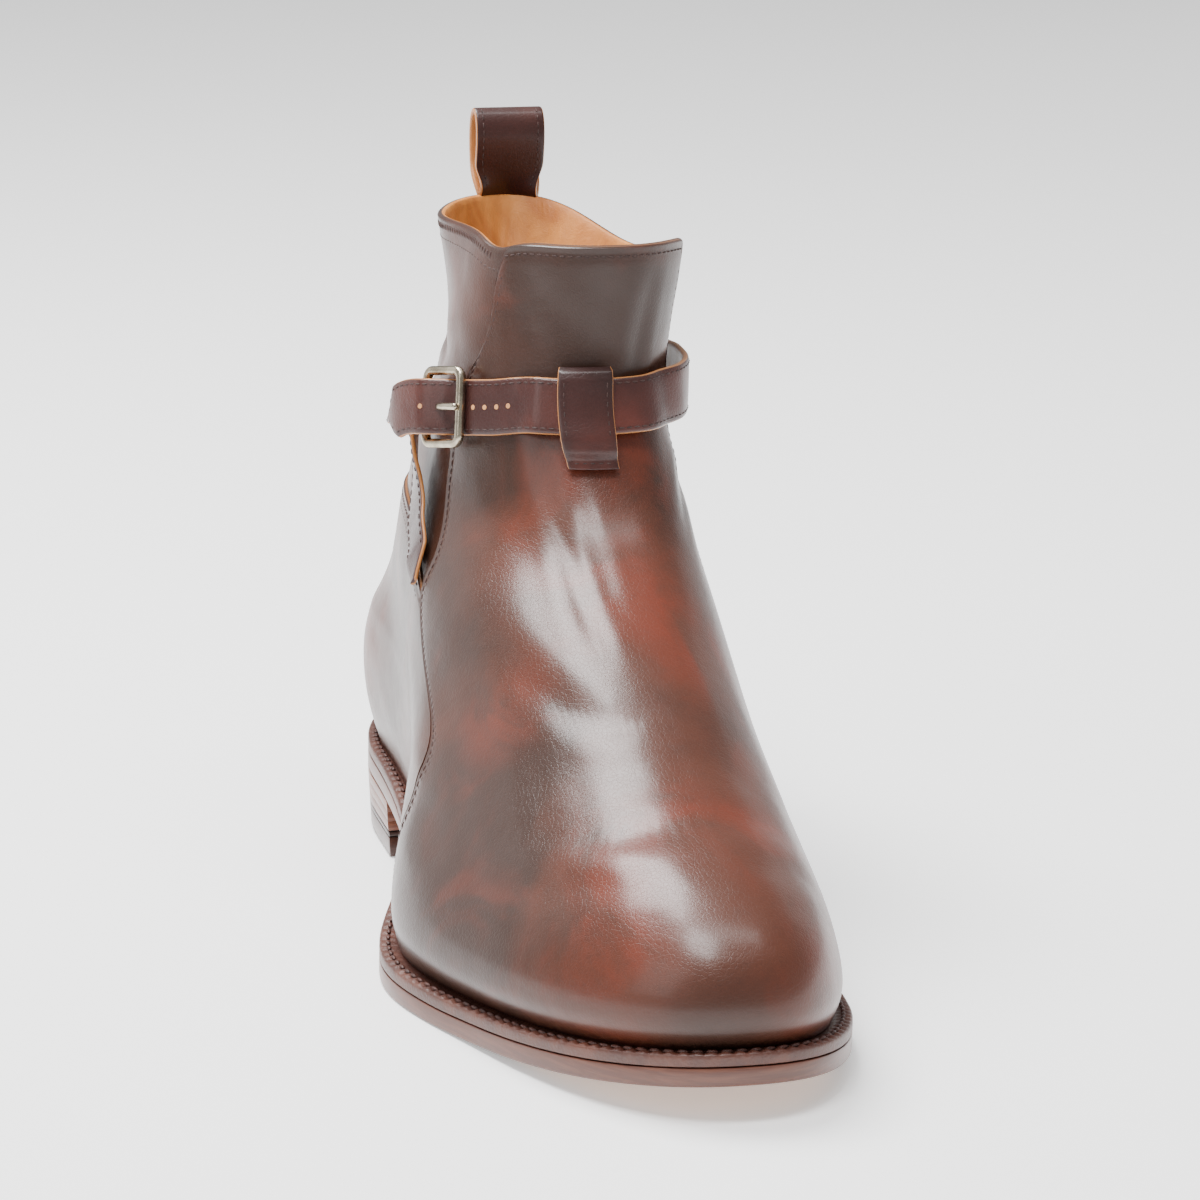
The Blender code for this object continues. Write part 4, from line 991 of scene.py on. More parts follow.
    def heel_foxing(self) -> None:
        """Layer round the heel from one seam to the other."""
        share = np.linspace(0.0, 1.0, 170)
        level_share = np.concatenate([np.linspace(0.0, 0.985, 70), (0.990, 0.994, 0.997, 0.9985, 0.9995, 1.0)])
        way = np.abs(share * 2.0 - 1.0)
        top = Seams.fox(way)
        v = top[:, None] * level_share
        inner = Seams.front(v, Side.INNER) - 1.0 + 0.0010
        outer = Seams.front(v, Side.OUTER) - 0.0010
        u = inner + (outer - inner) * share[:, None]
        self.overlay("heel_foxing", u, v, self.foxing, (False, False), (False, True), self.finishes.panel)
        thread = Stitches("foxing_stitches")
        fine = np.linspace(0.02, 0.98, 260)
        for inset in (0.0020, 0.0038):
            level = Seams.fox(np.abs(fine * 2.0 - 1.0)) - inset / self.FOX_RISE
            place = (Seams.front(level, Side.INNER) - 1.0) * (1.0 - fine) + Seams.front(level, Side.OUTER) * fine
            path = self.skin_point(place, level, np.full(len(place), self.foxing - self.SUNK))
            thread.along(path, LAST.normal(place, level), *self.FOX_STITCH)
        thread.make("upper_leather", self.finishes.thread)

    def back_stay(self) -> None:
        """Narrow strip over the back seam from the foxing to the collar."""
        rows = np.concatenate([np.linspace(5.78, 8.9, 70), (8.94, 8.97, 8.985, LAST.TOP)])
        share = crowded(12)
        half = 0.0075
        edge = LAST.point(np.zeros(len(rows)), rows)
        step = LAST.point(np.full(len(rows), 0.01), rows)
        scale = np.linalg.norm(step - edge, axis=-1) / 0.01
        u = (share[:, None] * 2.0 - 1.0) * half / scale
        v = rows + 0.0 * u
        self.overlay("back_stay", u, v, self.stay, (True, True), (True, True), self.finishes.panel)
        thread = Stitches("stay_stitches")
        for sign in (-1.0, 1.0):
            place = sign * (half - 0.0016) / scale
            path = self.skin_point(place, rows, np.full(len(rows), self.stay - 0.0001))
            thread.along(path, LAST.normal(place, rows), *self.STAY_STITCH)
        thread.make("upper_leather", self.finishes.thread)

    def collar(self) -> None:
        """Stitching round the collar's edge."""
        thread = Stitches("collar_stitches")
        for first, last, lift in ((-0.364, 0.368, 0.0), (0.380, 0.622, self.panel)):
            place = np.linspace(first, last, 240)
            level = np.full(240, LAST.TOP - (0.0016 if lift else 0.0036) / self.COLLAR_RISE)
            path = self.skin_point(place, level, np.full(240, lift - 0.0001))
            thread.along(path, LAST.normal(place, level), *self.COLLAR_STITCH)
        place = np.linspace(-0.30, 0.358, 400)
        level = np.full(400, LAST.TOP - 0.0015 / self.COLLAR_RISE)
        path = self.skin_point(place, level, np.full(400, -0.0001))
        thread.along(path, LAST.normal(place, level), *self.OVERCAST)
        thread.make("upper_leather", self.finishes.thread)

    def make(self) -> None:
        """Builds the whole upper."""
        self.shell()
        self.front_panel()
        self.heel_foxing()
        self.back_stay()
        self.collar()


class BuckleAxes:
    """Axes of the rigid buckle, as the CAD has them."""

    FROM_FRONT = 0.0430
    DROP = 0.0052
    STAND_OFF = 0.0064
    OPEN = 0.150
    FALL = 0.190
    LEAN = 0.170
    BAR = 0.0013
    HALF_LENGTH = 0.0076

    def __init__(self) -> None:
        """Finds the buckle's middle and directions."""
        centre, along, out = LAST.on_leg([self.FROM_FRONT], STRAP_HEIGHT - self.DROP, [self.STAND_OFF])
        self.centre = centre[0]
        self.back = along[0] + out[0] * self.OPEN - UP * self.FALL
        self.back /= np.linalg.norm(self.back)
        self.up = UP - out[0] * self.LEAN
        self.up -= self.back * self.up.dot(self.back)
        self.up /= np.linalg.norm(self.up)
        self.out = np.cross(self.back, self.up)
        self.out *= np.sign(self.out.dot(out[0]))

    def point(self, back: np.ndarray | float, out: np.ndarray | float, up: np.ndarray | float = 0.0) -> np.ndarray:
        """A point given along the buckle's axes from its middle."""
        back, out, up = (np.reshape(value, (-1, 1)) for value in (back, out, up))
        return self.centre + self.back * back + self.out * out + self.up * up


@dataclass
class Straps:
    """Long strap, buckle tab, keeper and the stitches on them."""

    EDGE_STITCH = (0.0024, 0.0020, 0.00045)
    TIP_STITCH = (0.0022, 0.0018, 0.00042)
    STITCH_INSET = 0.0016
    # The free end hangs: slope, and how far behind the buckle's bar it starts
    DROOP, DROOP_FROM = -0.30, 0.0030
    # Tip of the long strap: distance from the end and share of the half width
    TIP = ((0.0, 0.03), (0.0014, 0.12), (0.0032, 0.24), (0.0054, 0.50), (0.0076, 0.84), (0.0092, 1.0), (0.0105, 1.0))
    # Holes along the strap from the buckle's front bar, their ring radii, the radii of each hole's dark disc of painted
    # shade and that disc's drop
    HOLES = (-0.0038, -0.0078, -0.0118, -0.0156, 0.0137)
    HOLE_RING, HOLE_PIT, PIT_DROP = (0.00078, 0.00066), (0.00036, 0.00040), 0.00028
    # How far the tab's width direction turns into the leg, row by row
    TAB_TWIST = (0.0, 0.0, 0.05, 0.16, 0.27, 0.30, 0.28, 0.24, 0.17, 0.10, 0.04)
    TAB_PLACE = 0.0672
    KEEPER_HALF, KEEPER_AHEAD, KEEPER_FOOT = 0.0061, 0.0028, 0.0075
    KEEPER_EDGE_STITCH = (0.0023, 0.0018, 0.00042)
    KEEPER_FOOT_STITCH = (0.0021, 0.0017, 0.00050)

    finishes: Finishes
    axes: BuckleAxes
    leather: float = 0.0019
    width: float = 0.0154
    tab_leather: float = 0.0013
    tab_width: float = 0.0148
    keeper_leather: float = 0.0013
    skin_lift: float = 0.0015

    def over_leg(self, rows: Sequence[Sequence[float]], steps: int, twist: Sequence[float] = ()) -> np.ndarray:
        """Middle line, width direction and half width of a strap laid over the leg.

        Args:
            rows: Distance round, height, lift, width along, width up and half width.
            steps: Number of even steps.
            twist: How far the width direction turns into the leg at each row.

        Returns:
            Rows of point, width direction and half width.
        """
        run = np.array(rows, float)
        knots = reach_along(run[:, :2])
        x = np.linspace(0.0, knots[-1], steps + 1)
        run = np.stack([self.level(knots, run[:, k], x) for k in range(run.shape[1])], axis=-1)
        points, along, out = LAST.on_leg(run[:, 0], run[:, 1], run[:, 2])
        above, _, _ = LAST.on_leg(run[:, 0], run[:, 1] + 0.006, run[:, 2])
        below, _, _ = LAST.on_leg(run[:, 0], run[:, 1] - 0.006, run[:, 2])
        slope = (above - below) / 0.012
        slope -= along * (slope * along).sum(-1, keepdims=True)
        wide = along * run[:, 3:4] + slope * run[:, 4:5]
        if len(twist):
            wide = wide - out * self.level(knots, np.array(twist), x)[:, None]
        return np.concatenate([points, wide, run[:, 5:6]], axis=1)

    @staticmethod
    def level(knots: np.ndarray, values: np.ndarray, x: np.ndarray) -> np.ndarray:
        """Smooth curve that never overshoots."""
        runs = np.diff(knots)
        rates = np.diff(values) / runs
        slopes = np.zeros(len(knots))
        slopes[0], slopes[-1] = rates[0], rates[-1]
        for i in range(1, len(knots) - 1):
            if rates[i - 1] * rates[i] > 0.0:
                slopes[i] = 2.0 * rates[i - 1] * rates[i] / (rates[i - 1] + rates[i])
        i = np.clip(np.searchsorted(knots, x) - 1, 0, len(runs) - 1)
        share = np.clip((x - knots[i]) / runs[i], 0.0, 1.0)
        rising = ease(share)
        return (values[i] * (1.0 - rising) + values[i + 1] * rising
                + runs[i] * slopes[i] * share * (1.0 - share) ** 2
                - runs[i] * slopes[i + 1] * share * share * (1.0 - share))

    def over_buckle(self, back: Sequence[float], out: Sequence[float], half: float,
                    droop: float = 0.0) -> np.ndarray:
        """The same columns for a run given in the buckle's axes; droop is the slope of its free end."""
        beyond = np.clip(np.array(back) - self.axes.HALF_LENGTH - self.DROOP_FROM, 0.0, None)
        points = self.axes.point(np.array(back), np.array(out), beyond * droop)
        ups = np.tile(self.axes.up, (len(points), 1))
        return np.concatenate([points, ups, np.full((len(points), 1), half)], axis=1)

    @staticmethod
    def turn(corner: float, height: float, radius: float, lift: float, half: float,
             side: float) -> list[tuple]:
        """Quarter turn from upright to level."""
        rows = []
        for angle in np.linspace(0.0, np.pi / 2.0, 7):
            rows.append((side * (corner - radius * (1.0 - np.cos(angle))), height - radius * (1.0 - np.sin(angle)),
                         lift, side * np.cos(angle), np.sin(angle), half))
        return rows

    def ribbon(self, name: str, run: np.ndarray, half: np.ndarray, leather: float, material: bpy.types.Material,
               node: str, crown: float = 0.0002) -> tuple[np.ndarray, np.ndarray, np.ndarray]:
        """A strap with rounded, raw edges.

        Args:
            name: Name of the piece.
            run: Rows of point and width direction.
            half: Half width at each row.
            leather: Thickness.
            material: Its material.
            node: CAD node it stands for.
            crown: How far its middle swells.

        Returns:
            Middle line, width directions and face directions.
        """
        path = run[:, :3]
        along = unit(np.gradient(path, axis=0))
        up = run[:, 3:6]
        up = unit(up - along * (up * along).sum(-1, keepdims=True))
        face = np.cross(along, up)
        face = face * np.sign(((path - LEG_MIDDLE) * LEVEL * face).sum(-1)[len(path) // 3])
        radius = leather / 2.0
        corner = [(math.cos(a), math.sin(a)) for a in np.radians((-90, -60, -30, 0, 30, 60, 90))]
        inner = np.linspace(-1.0, 1.0, 13)[1:-1]
        loops, raw, near = [], [], []
        for point, wide, out, reach in zip(path, up, face, half):
            flat = max(reach - radius, 0.0)
            section, pale, gap = [], [], []
            for place in inner:
                section.append((place * flat, -radius))
                pale.append(0.9)
                gap.append((reach - abs(place * flat)) / MM)
            for c, s in corner:
                section.append((flat + radius * c, radius * s))
                pale.append(1.0 if s < 0.75 else 0.2)
                gap.append(0.0)
            for place in inner[::-1]:
                swell = crown * (1.0 - abs(place) ** 4)
                section.append((place * flat, radius + swell))
                pale.append(0.0)
                gap.append((reach - abs(place * flat)) / MM)
            for c, s in corner[::-1]:
                section.append((-flat - radius * c, radius * s))
                pale.append(1.0 if s < 0.75 else 0.2)
                gap.append(0.0)
            loops.append([point + wide * a + out * b for a, b in section])
            raw.append(pale)
            near.append(gap)
        fields = {"raw": padded_rows(np.array(raw)), "edge": padded_rows(np.array(near))}
        Part.place(skin(name, capped(np.array(loops)), fields), "strap_leather", material, node)
        return path, up, face

    def edge_rows(self, thread: Stitches, path: np.ndarray, up: np.ndarray, face: np.ndarray, half: np.ndarray,
                  leather: float, first: int, last: int) -> None:
        """Stitches along both edges of a strap between two of its rows."""
        for sign in (-1.0, 1.0):
            line = path + up * (sign * (half - self.STITCH_INSET))[:, None] + face * (leather / 2.0 + 0.00002)
            thread.along(line[first:last], face[first:last], *self.EDGE_STITCH)

    def long_strap(self) -> None:
        """Strap from the inner quarter round the front, through keeper and buckle."""
        half = self.width / 2.0
        on_skin = self.skin_lift + LAST.GAP + self.leather / 2.0
        inside = self.skin_lift + self.keeper_leather + LAST.GAP + self.leather / 2.0 + 0.0009
        rows = [(-0.0690, 0.0900, on_skin, -0.97, 0.25, 0.0018),
                (-0.0705, 0.0965, on_skin + 0.0003, -0.98, 0.20, 0.0060),
                (-0.0728, 0.1060, on_skin + 0.0010, -0.99, 0.10, half),
                (-0.0742, 0.1160, 0.0036, -1.0, 0.0, half)]
        rows += self.turn(0.0745, STRAP_HEIGHT - 0.0010, 0.0125, 0.0056, half, -1.0)
        for distance, lift in ((-0.0500, 0.0062), (-0.0380, 0.0066), (-0.0280, 0.0060), (-0.0190, 0.0044),
                               (-0.0120, inside + 0.0004), (-0.0070, inside), (0.0070, inside),
                               (0.0130, inside + 0.0001)):
            rows.append((distance, STRAP_HEIGHT, lift, 0.0, 1.0, half))
        rows.append((0.0195, STRAP_HEIGHT - 0.0010, 0.0032, 0.0, 1.0, half))
        rows.append((0.0250, STRAP_HEIGHT - 0.0022, 0.0030, 0.0, 1.0, half))
        bar = self.axes.HALF_LENGTH
        under = -self.axes.BAR - LAST.GAP - self.leather / 2.0 - 0.0001
        over = self.axes.BAR + 0.0006 + self.tab_leather + self.leather / 2.0 + 0.0002
        buckle = self.over_buckle((-bar - 0.0022, -bar, -bar + 0.0018, -0.0008, bar - 0.0026, bar, bar + 0.0050,
                                   bar + 0.0095, bar + 0.0130, bar + 0.0160),
                                  (under, under, under + 0.0001, (under + over) / 2.0, over - 0.0002, over, over,
                                   over - 0.0007, over - 0.0020, over - 0.0036), half, self.DROOP)
        run = spline(np.concatenate([self.over_leg(rows, 140), buckle]), 330)
        travelled = reach_along(run[:, :3])
        left = travelled[-1] - travelled
        tip = np.array(self.TIP)
        wide = run[:, 6] * self.level(tip[:, 0], tip[:, 1], np.clip(left, 0.0, tip[-1, 0]))
        path, up, face = self.ribbon("strap", run, wide, self.leather, self.finishes.strap, "long_strap")
        thread = Stitches("strap_stitches")
        clear = int(np.argmax(left < 0.0085))
        self.edge_rows(thread, path, up, face, wide, self.leather + 0.0001, 60, clear)
        tail = slice(clear, len(path) - 6)
        surface = path + face * (self.leather / 2.0 + 0.00004)
        for sign in (-1.0, 1.0):
            line = surface + up * (sign * np.clip(wide - 0.0018, 0.0, None))[:, None]
            thread.along(line[tail], face[tail], *self.TIP_STITCH)
        thread.make("strap_leather", self.finishes.thread)
        self.holes(path, face, travelled)

    def holes(self, path: np.ndarray, face: np.ndarray, travelled: np.ndarray) -> None:
        """Punched holes in a row down the strap, each a pale ring round a dark disc of painted shade, set a little low,
        for the hole's shaded inside.
        """
        front = self.axes.point(-self.axes.HALF_LENGTH, 0.0)[0]
        start = travelled[int(np.argmin(np.linalg.norm(path - front, axis=1)))]
        ring = bmesh.new()
        shade_discs = bmesh.new()
        for offset in self.HOLES:
            place = start + offset
            centre = np.array([np.interp(place, travelled, path[:, k]) for k in range(3)])
            out = unit(np.array([np.interp(place, travelled, face[:, k]) for k in range(3)]))
            centre = centre + out * (self.leather / 2.0 + 0.00016)
            turn = Vector(out).to_track_quat("Z", "Y").to_matrix().to_4x4()
            # The second shape in each hole is a dark disc of painted shade, dropped a little below the ring.
            for shape, segments, radii, depth, spot in (
                    (ring, 16, self.HOLE_RING, 0.00022, centre),
                    (shade_discs, 14, self.HOLE_PIT, 0.00026, centre - UP * self.PIT_DROP)):
                bmesh.ops.create_cone(shape, cap_ends=True, segments=segments, radius1=radii[0], radius2=radii[1],
                                      depth=depth, matrix=Matrix.Translation(Vector(spot)) @ turn)
        Part.place(finished("strap_holes", ring), "strap_leather", self.finishes.hole)
        Part.place(finished("strap_hole_shade", shade_discs), "strap_leather", self.finishes.dark_lift)

    def tab(self) -> None:
        """Tab from the outer quarter, folded round the buckle's back bar."""
        half = self.tab_width / 2.0
        on_skin = self.skin_lift + LAST.GAP + self.tab_leather / 2.0
        rows = [(0.0637, 0.0900, on_skin, 0.97, 0.25, 0.0018), (0.0642, 0.0965, on_skin, 0.98, 0.20, 0.0060),
                (0.0654, 0.1040, on_skin + 0.0009, 0.99, 0.10, half), (0.0666, 0.1130, 0.0040, 1.0, 0.0, half),
                (self.TAB_PLACE, 0.1210, 0.0050, 1.0, 0.0, half)]
        bar = self.axes.HALF_LENGTH
        reach = self.axes.BAR + LAST.GAP + self.tab_leather / 2.0 + 0.0001
        rise = STRAP_HEIGHT - self.axes.DROP - 0.0016
        turning = self.turn(self.TAB_PLACE, rise, 0.0112, 0.0056, half, 1.0)[1:7]
        fold = np.radians(np.arange(-90.0, -271.0, -30.0))
        back = np.concatenate([[bar + 0.0022], bar + reach * np.cos(fold), [bar + 0.0026, bar + 0.0052]])
        out = np.concatenate([[-reach], reach * np.sin(fold), [reach, reach]])
        leg = self.over_leg(rows + turning, 70, self.TAB_TWIST)
        run = spline(np.concatenate([leg, self.over_buckle(back, out, half)]), 190)
        path, up, face = self.ribbon("tab", run, run[:, 6], self.tab_leather, self.finishes.strap, "buckle_strap",
                                     0.0001)
        thread = Stitches("tab_stitches")
        self.edge_rows(thread, path, up, face, run[:, 6], self.tab_leather + 0.0001, 22, 110)
        thread.make("strap_leather", self.finishes.thread)

    def keeper(self) -> None:
        """Loop of leather on the leg's front, sewn down below the strap."""
        leather = self.keeper_leather
        low = STRAP_HEIGHT - self.width / 2.0 - 0.0007
        high = STRAP_HEIGHT + self.width / 2.0 + 0.0007
        lift = self.skin_lift
        inner_lift = lift + leather
        outer_lift = inner_lift + self.leather + 0.0006 + 0.0012
        middle = (inner_lift + outer_lift) / 2.0
        profile = np.array((
            (low, inner_lift, low - self.KEEPER_FOOT, lift + 0.0004),
            (low + 0.002, inner_lift, low + 0.002, lift + 0.0001),
            (STRAP_HEIGHT, inner_lift, STRAP_HEIGHT, lift),
            (high - 0.001, inner_lift, high - 0.001, lift),
            (high, inner_lift + 0.0004, high + leather, lift + 0.0009),
            (high + 0.0003, middle, high + 0.0021, middle),
            (high, outer_lift - 0.0004, high + leather, outer_lift + leather - 0.0009),
            (high - 0.001, outer_lift, high - 0.001, outer_lift + leather),
            (STRAP_HEIGHT, outer_lift, STRAP_HEIGHT, outer_lift + leather),
            (low + 0.002, outer_lift, low + 0.001, outer_lift + leather),
            (low, outer_lift - 0.0003, low - 0.0026, outer_lift + leather - 0.0013),
            (low - 0.0003, middle, low - 0.0050, lift + 2.0 * leather + 0.0006),
            (low - 0.0004, inner_lift + 0.0004, low - self.KEEPER_FOOT, lift + 2.0 * leather)))
        closed = np.concatenate([profile, profile[:1]])
        knots = np.arange(len(closed))
        fine = np.linspace(0.0, len(profile), 8 * len(profile) + 1)[:-1]
        smooth = np.stack([np.interp(fine, knots, closed[:, k]) for k in range(4)], -1)
        for _ in range(3):
            outer = smooth[:, 2:]
            smooth[:, 2:] = (np.roll(outer, 1, 0) + 2.0 * outer + np.roll(outer, -1, 0)) / 4.0
        half, ahead = self.KEEPER_HALF, self.KEEPER_AHEAD
        across = across_band(half, 0.0008)
        bend = np.clip(1.0 - (half - np.abs(across)) / 0.0005, 0.0, 1.0)
        loops, raw, near = [], [], []
        for height, inner, out_height, outer in smooth:
            shrink = 0.0004 * bend ** 2
            toward = np.sign(outer - inner) if abs(outer - inner) > 1e-6 else 0.0
            outside, _, _ = LAST.on_leg(across + ahead, out_height, outer - toward * shrink)
            inside, _, _ = LAST.on_leg(across[::-1] + ahead, height, np.full(len(across), inner))
            loops.append(np.concatenate([outside, inside]))
            pale = np.where(np.abs(across) > half - 0.0002, 0.75, 0.0)
            raw.append(np.concatenate([pale, np.full(len(across), 0.9)]))
            near.append(np.concatenate([(half - np.abs(across)) / MM, (half - np.abs(across[::-1])) / MM]))
        piece = skin("keeper", np.array(loops), {"raw": np.array(raw), "edge": np.array(near)}, ring=True)
        Part.place(piece, "strap_leather", self.finishes.keeper, "keeper_loop")
        thread = Stitches("keeper_stitches")
        span = np.linspace(-half + 0.0014, half - 0.0014, 40)
        for height in (low - 0.0038, low - 0.0058):
            line, _, out = LAST.on_leg(span + ahead, height, np.full(40, lift + 2.0 * leather + 0.00028))
            thread.along(line, out, *self.KEEPER_FOOT_STITCH)
        for side in (-half + 0.0014, half - 0.0014):
            heights = np.linspace(low + 0.001, high - 0.001, 30)
            line, _, out = LAST.on_leg(np.full(30, side + ahead), heights, np.full(30, outer_lift + leather + 0.00002))
            thread.along(line, out, *self.KEEPER_EDGE_STITCH)
        thread.make("strap_leather", self.finishes.thread)

    def make(self) -> None:
        """Builds every strap piece."""
        self.long_strap()
        self.tab()
        self.keeper()


@dataclass
class Buckle:
    """Rectangular frame of rounded bar and its prong."""

    SIDE_ROOM = 0.0010
    CORNER = 0.0023
    CORNERS = ((1, 1), (-1, 1), (-1, -1), (1, -1))
    # Section of the bar: how flat it is, and the power that squares it
    FLATNESS, SQUARENESS = 0.96, 0.8

    finishes: Finishes
    axes: BuckleAxes
    strap_width: float = 0.0154
    prong: float = 0.0009

    def frame_bar(self) -> None:
        """The frame, a little flattened and worn."""
        bar = self.axes.BAR
        half_length = self.axes.HALF_LENGTH
        half_height = self.strap_width / 2.0 + self.SIDE_ROOM + bar
        corner = self.CORNER
        path = []
        for quarter, (side_back, side_up) in enumerate(self.CORNERS):
            for angle in np.linspace(0.0, np.pi / 2.0, 10) + quarter * np.pi / 2.0:
                path.append((side_back * (half_length - corner) + corner * np.cos(angle),
                             side_up * (half_height - corner) + corner * np.sin(angle)))
            for share in (0.25, 0.5, 0.75):
                after = self.CORNERS[(quarter + 1) % 4]
                angle = (quarter + 1) * np.pi / 2.0
                here = np.array((side_back * (half_length - corner), side_up * (half_height - corner)))
                there = np.array((after[0] * (half_length - corner), after[1] * (half_height - corner)))
                spot = here + (there - here) * share
                path.append((spot[0] + corner * np.cos(angle), spot[1] + corner * np.sin(angle)))
        path = np.array(path)
        along = np.roll(path, -1, axis=0) - np.roll(path, 1, axis=0)
        along /= np.linalg.norm(along, axis=1, keepdims=True)
        outward = np.stack([along[:, 1], -along[:, 0]], axis=1)
        loops = []
        for (back, up), (out_back, out_up) in zip(path, outward):
            loop = []
            for angle in np.linspace(0.0, 2.0 * np.pi, 21)[:-1]:
                c, s = np.cos(angle), np.sin(angle)
                side = bar * np.sign(c) * abs(c) ** self.SQUARENESS
                rise = bar * self.FLATNESS * np.sign(s) * abs(s) ** self.SQUARENESS
                loop.append(self.axes.point(back + out_back * side, rise, up + out_up * side)[0])
            loops.append(loop)
        piece = skin("buckle", np.array(loops), ring=True)
        Part.place(piece, "brass", self.finishes.brass, "buckle_frame")

    def pin(self) -> None:
        """The prong, from the back bar through the strap onto the front bar."""
        bar, half = self.axes.BAR, self.axes.HALF_LENGTH
        root = half - bar - 0.0006 - 0.0013 - self.prong
        rest = bar + LAST.GAP + self.prong
        points = self.axes.point(np.array((root, root - 0.003, 0.0, -half + 0.0022, -half, -half - 0.0018)),
                                 np.array((0.0004, 0.0006, 0.0016, rest + 0.0002, rest + 0.0001, rest)))
        path = spline(points, 40)
        along = unit(np.gradient(path, axis=0))
        loops = []
        for share, point, run in zip(np.linspace(0.0, 1.0, len(path)), path, along):
            over = np.cross(run, self.axes.up)
            ends = min(share, 1.0 - share) / 0.06
            radius = self.prong * math.sqrt(max(1.0 - (1.0 - min(ends, 1.0)) ** 2, 0.02))
            loops.append([point + radius * (1.15 * np.cos(a) * self.axes.up + np.sin(a) * over)
                          for a in np.linspace(0.0, 2.0 * np.pi, 15)[:-1]])
        Part.place(skin("prong", capped(np.array(loops))), "brass", self.finishes.brass, "buckle_prong")

    def make(self) -> None:
        """Builds frame and prong."""
        self.frame_bar()
        self.pin()


@dataclass
class PullLoop:
    """Finger loop that stands on the back of the collar."""

    STITCH = (0.0022, 0.0018, 0.00042)
    # Spread of the loop's two sides at its foot, and all over
    FOOT_SPREAD, SPREAD = 0.45, 1.35
    # Rise over which the loop's foot changes from the rim's curve to flat
    FLAT_FROM = 0.009

    finishes: Finishes
    width: float = 0.0205
    leather: float = 0.0015
    height: float = 0.0250
    depth: float = 0.0092
    wall: float = 0.0024
    sink: float = 0.0014

    def make(self) -> None:
        """Builds the loop and its stitches."""
        half = self.width / 2.0
        across = across_band(half, 0.0007)
        places = np.linspace(-0.12, 0.12, 81)
        reach = reach_along(LAST.point(places, np.full(81, LAST.TOP))[:, :2])
        u = np.interp(across, reach - reach[40], places)
        foot = LAST.point(u, np.full(len(u), LAST.TOP))
        out = LAST.normal(u, np.full(len(u), LAST.TOP))
        rim = foot - out * self.wall / 2.0 + UP * LAST.GAP
        middle = rim[len(rim) // 2]
        face = out[len(out) // 2]
        side = np.cross(face, UP)
        side *= np.sign(side.dot(rim[-1] - rim[0]))
        flat = middle + across[:, None] * side
        profile = []
        for angle in np.linspace(0.0, 2.0 * np.pi, 73)[:-1]:
            rise = (1.0 - np.cos(angle)) / 2.0
            spread = (self.FOOT_SPREAD + (1.0 - self.FOOT_SPREAD) * rise) * self.SPREAD
            depth = np.sin(angle) * self.depth / 2.0 * spread
            profile.append((rise * self.height - self.sink * (1.0 - rise) ** 6, depth))
        profile = np.array(profile)
        along = np.roll(profile, -1, axis=0) - np.roll(profile, 1, axis=0)
        along /= np.linalg.norm(along, axis=1, keepdims=True)
        inward = np.stack([along[:, 1], -along[:, 0]], axis=1)
        inward *= np.sign(((np.array((self.height / 2.0, 0.0)) - profile) * inward).sum(1))[:, None]
        bend = 0.0003 * np.clip(1.0 - (half - np.abs(across)) / 0.0005, 0.0, 1.0) ** 2
        loops, raw, near, rows = [], [], [], []
        for (rise, depth), (in_rise, in_depth) in zip(profile, inward):
            blend = float(ease(np.array(rise / self.FLAT_FROM)))
            base = rim + (flat - rim) * blend
            away = out + (face - out) * blend
            outer = base + UP * rise + away * depth + (UP * in_rise + away * in_depth) * bend[:, None]
            thick = self.leather - bend
            inner = base + UP * rise + away * depth + (UP * in_rise + away * in_depth) * thick[:, None]
            loops.append(np.concatenate([outer, inner[::-1]]))
            pale = np.where(np.abs(across) > half - 0.0002, 1.0, 0.0)
            raw.append(np.concatenate([pale, np.full(len(across), 1.0)]))
            near.append(np.concatenate([(half - np.abs(across)) / MM] * 2))
            rows.append((outer, -(UP * in_rise + away * in_depth)))
        piece = skin("pull_tab", np.array(loops), {"raw": np.array(raw), "edge": np.array(near)}, ring=True)
        Part.place(piece, "strap_leather", self.finishes.loop, "pull_loop")
        thread = Stitches("pull_tab_stitches")
        for column in (4, len(across) - 5):
            path = np.array([outer[column] for outer, _ in rows])
            faces = np.array([out_rows[column] for _, out_rows in rows])
            for part in (slice(6, 34), slice(38, 66)):
                thread.along(path[part], faces[part], *self.STITCH)
        thread.make("strap_leather", self.finishes.thread)


class SoleLine:
    """The sole's outline: the feather line moved out by a margin that widens at the forefoot."""

    def __init__(self, margin_heel: float, margin_fore: float, count: int = 360) -> None:
        """Works out the outline's points, once round from the heel's back."""
        u = np.linspace(0.0, 1.0, count * 4 + 1)[:-1]
        line = LAST.point(u, 0.0 * u)
        normal = LAST.normal(u, 0.0 * u)
        share = np.clip((LAST.ORIGIN_AHEAD - line[:, 1]) / LAST.LENGTH / 0.5 - 0.3, 0.0, 1.0)
        margin = margin_heel + (margin_fore - margin_heel) * share
        x = line[:, 0] + normal[:, 0] * margin
        ahead = LAST.ORIGIN_AHEAD - line[:, 1] - normal[:, 1] * margin
        self.points = self.even(np.stack([x, ahead], -1), count)

    @staticmethod
    def even(points: np.ndarray, count: int) -> np.ndarray:
        """A closed line cut into even steps."""
        closed = np.concatenate([points, points[:1]])
        reach = reach_along(closed)
        places = np.linspace(0.0, reach[-1], count + 1)[:-1]
        return np.stack([np.interp(places, reach, closed[:, k]) for k in range(2)], -1)

    @staticmethod
    def inward(points: np.ndarray) -> np.ndarray:
        """Unit directions into a closed line."""
        along = np.roll(points, -1, axis=0) - np.roll(points, 1, axis=0)
        along /= np.linalg.norm(along, axis=1, keepdims=True)
        normal = np.stack([-along[:, 1], along[:, 0]], axis=1)
        middle = points.mean(axis=0)
        if ((middle - points) * normal).sum() < 0.0:
            normal = -normal
        return normal


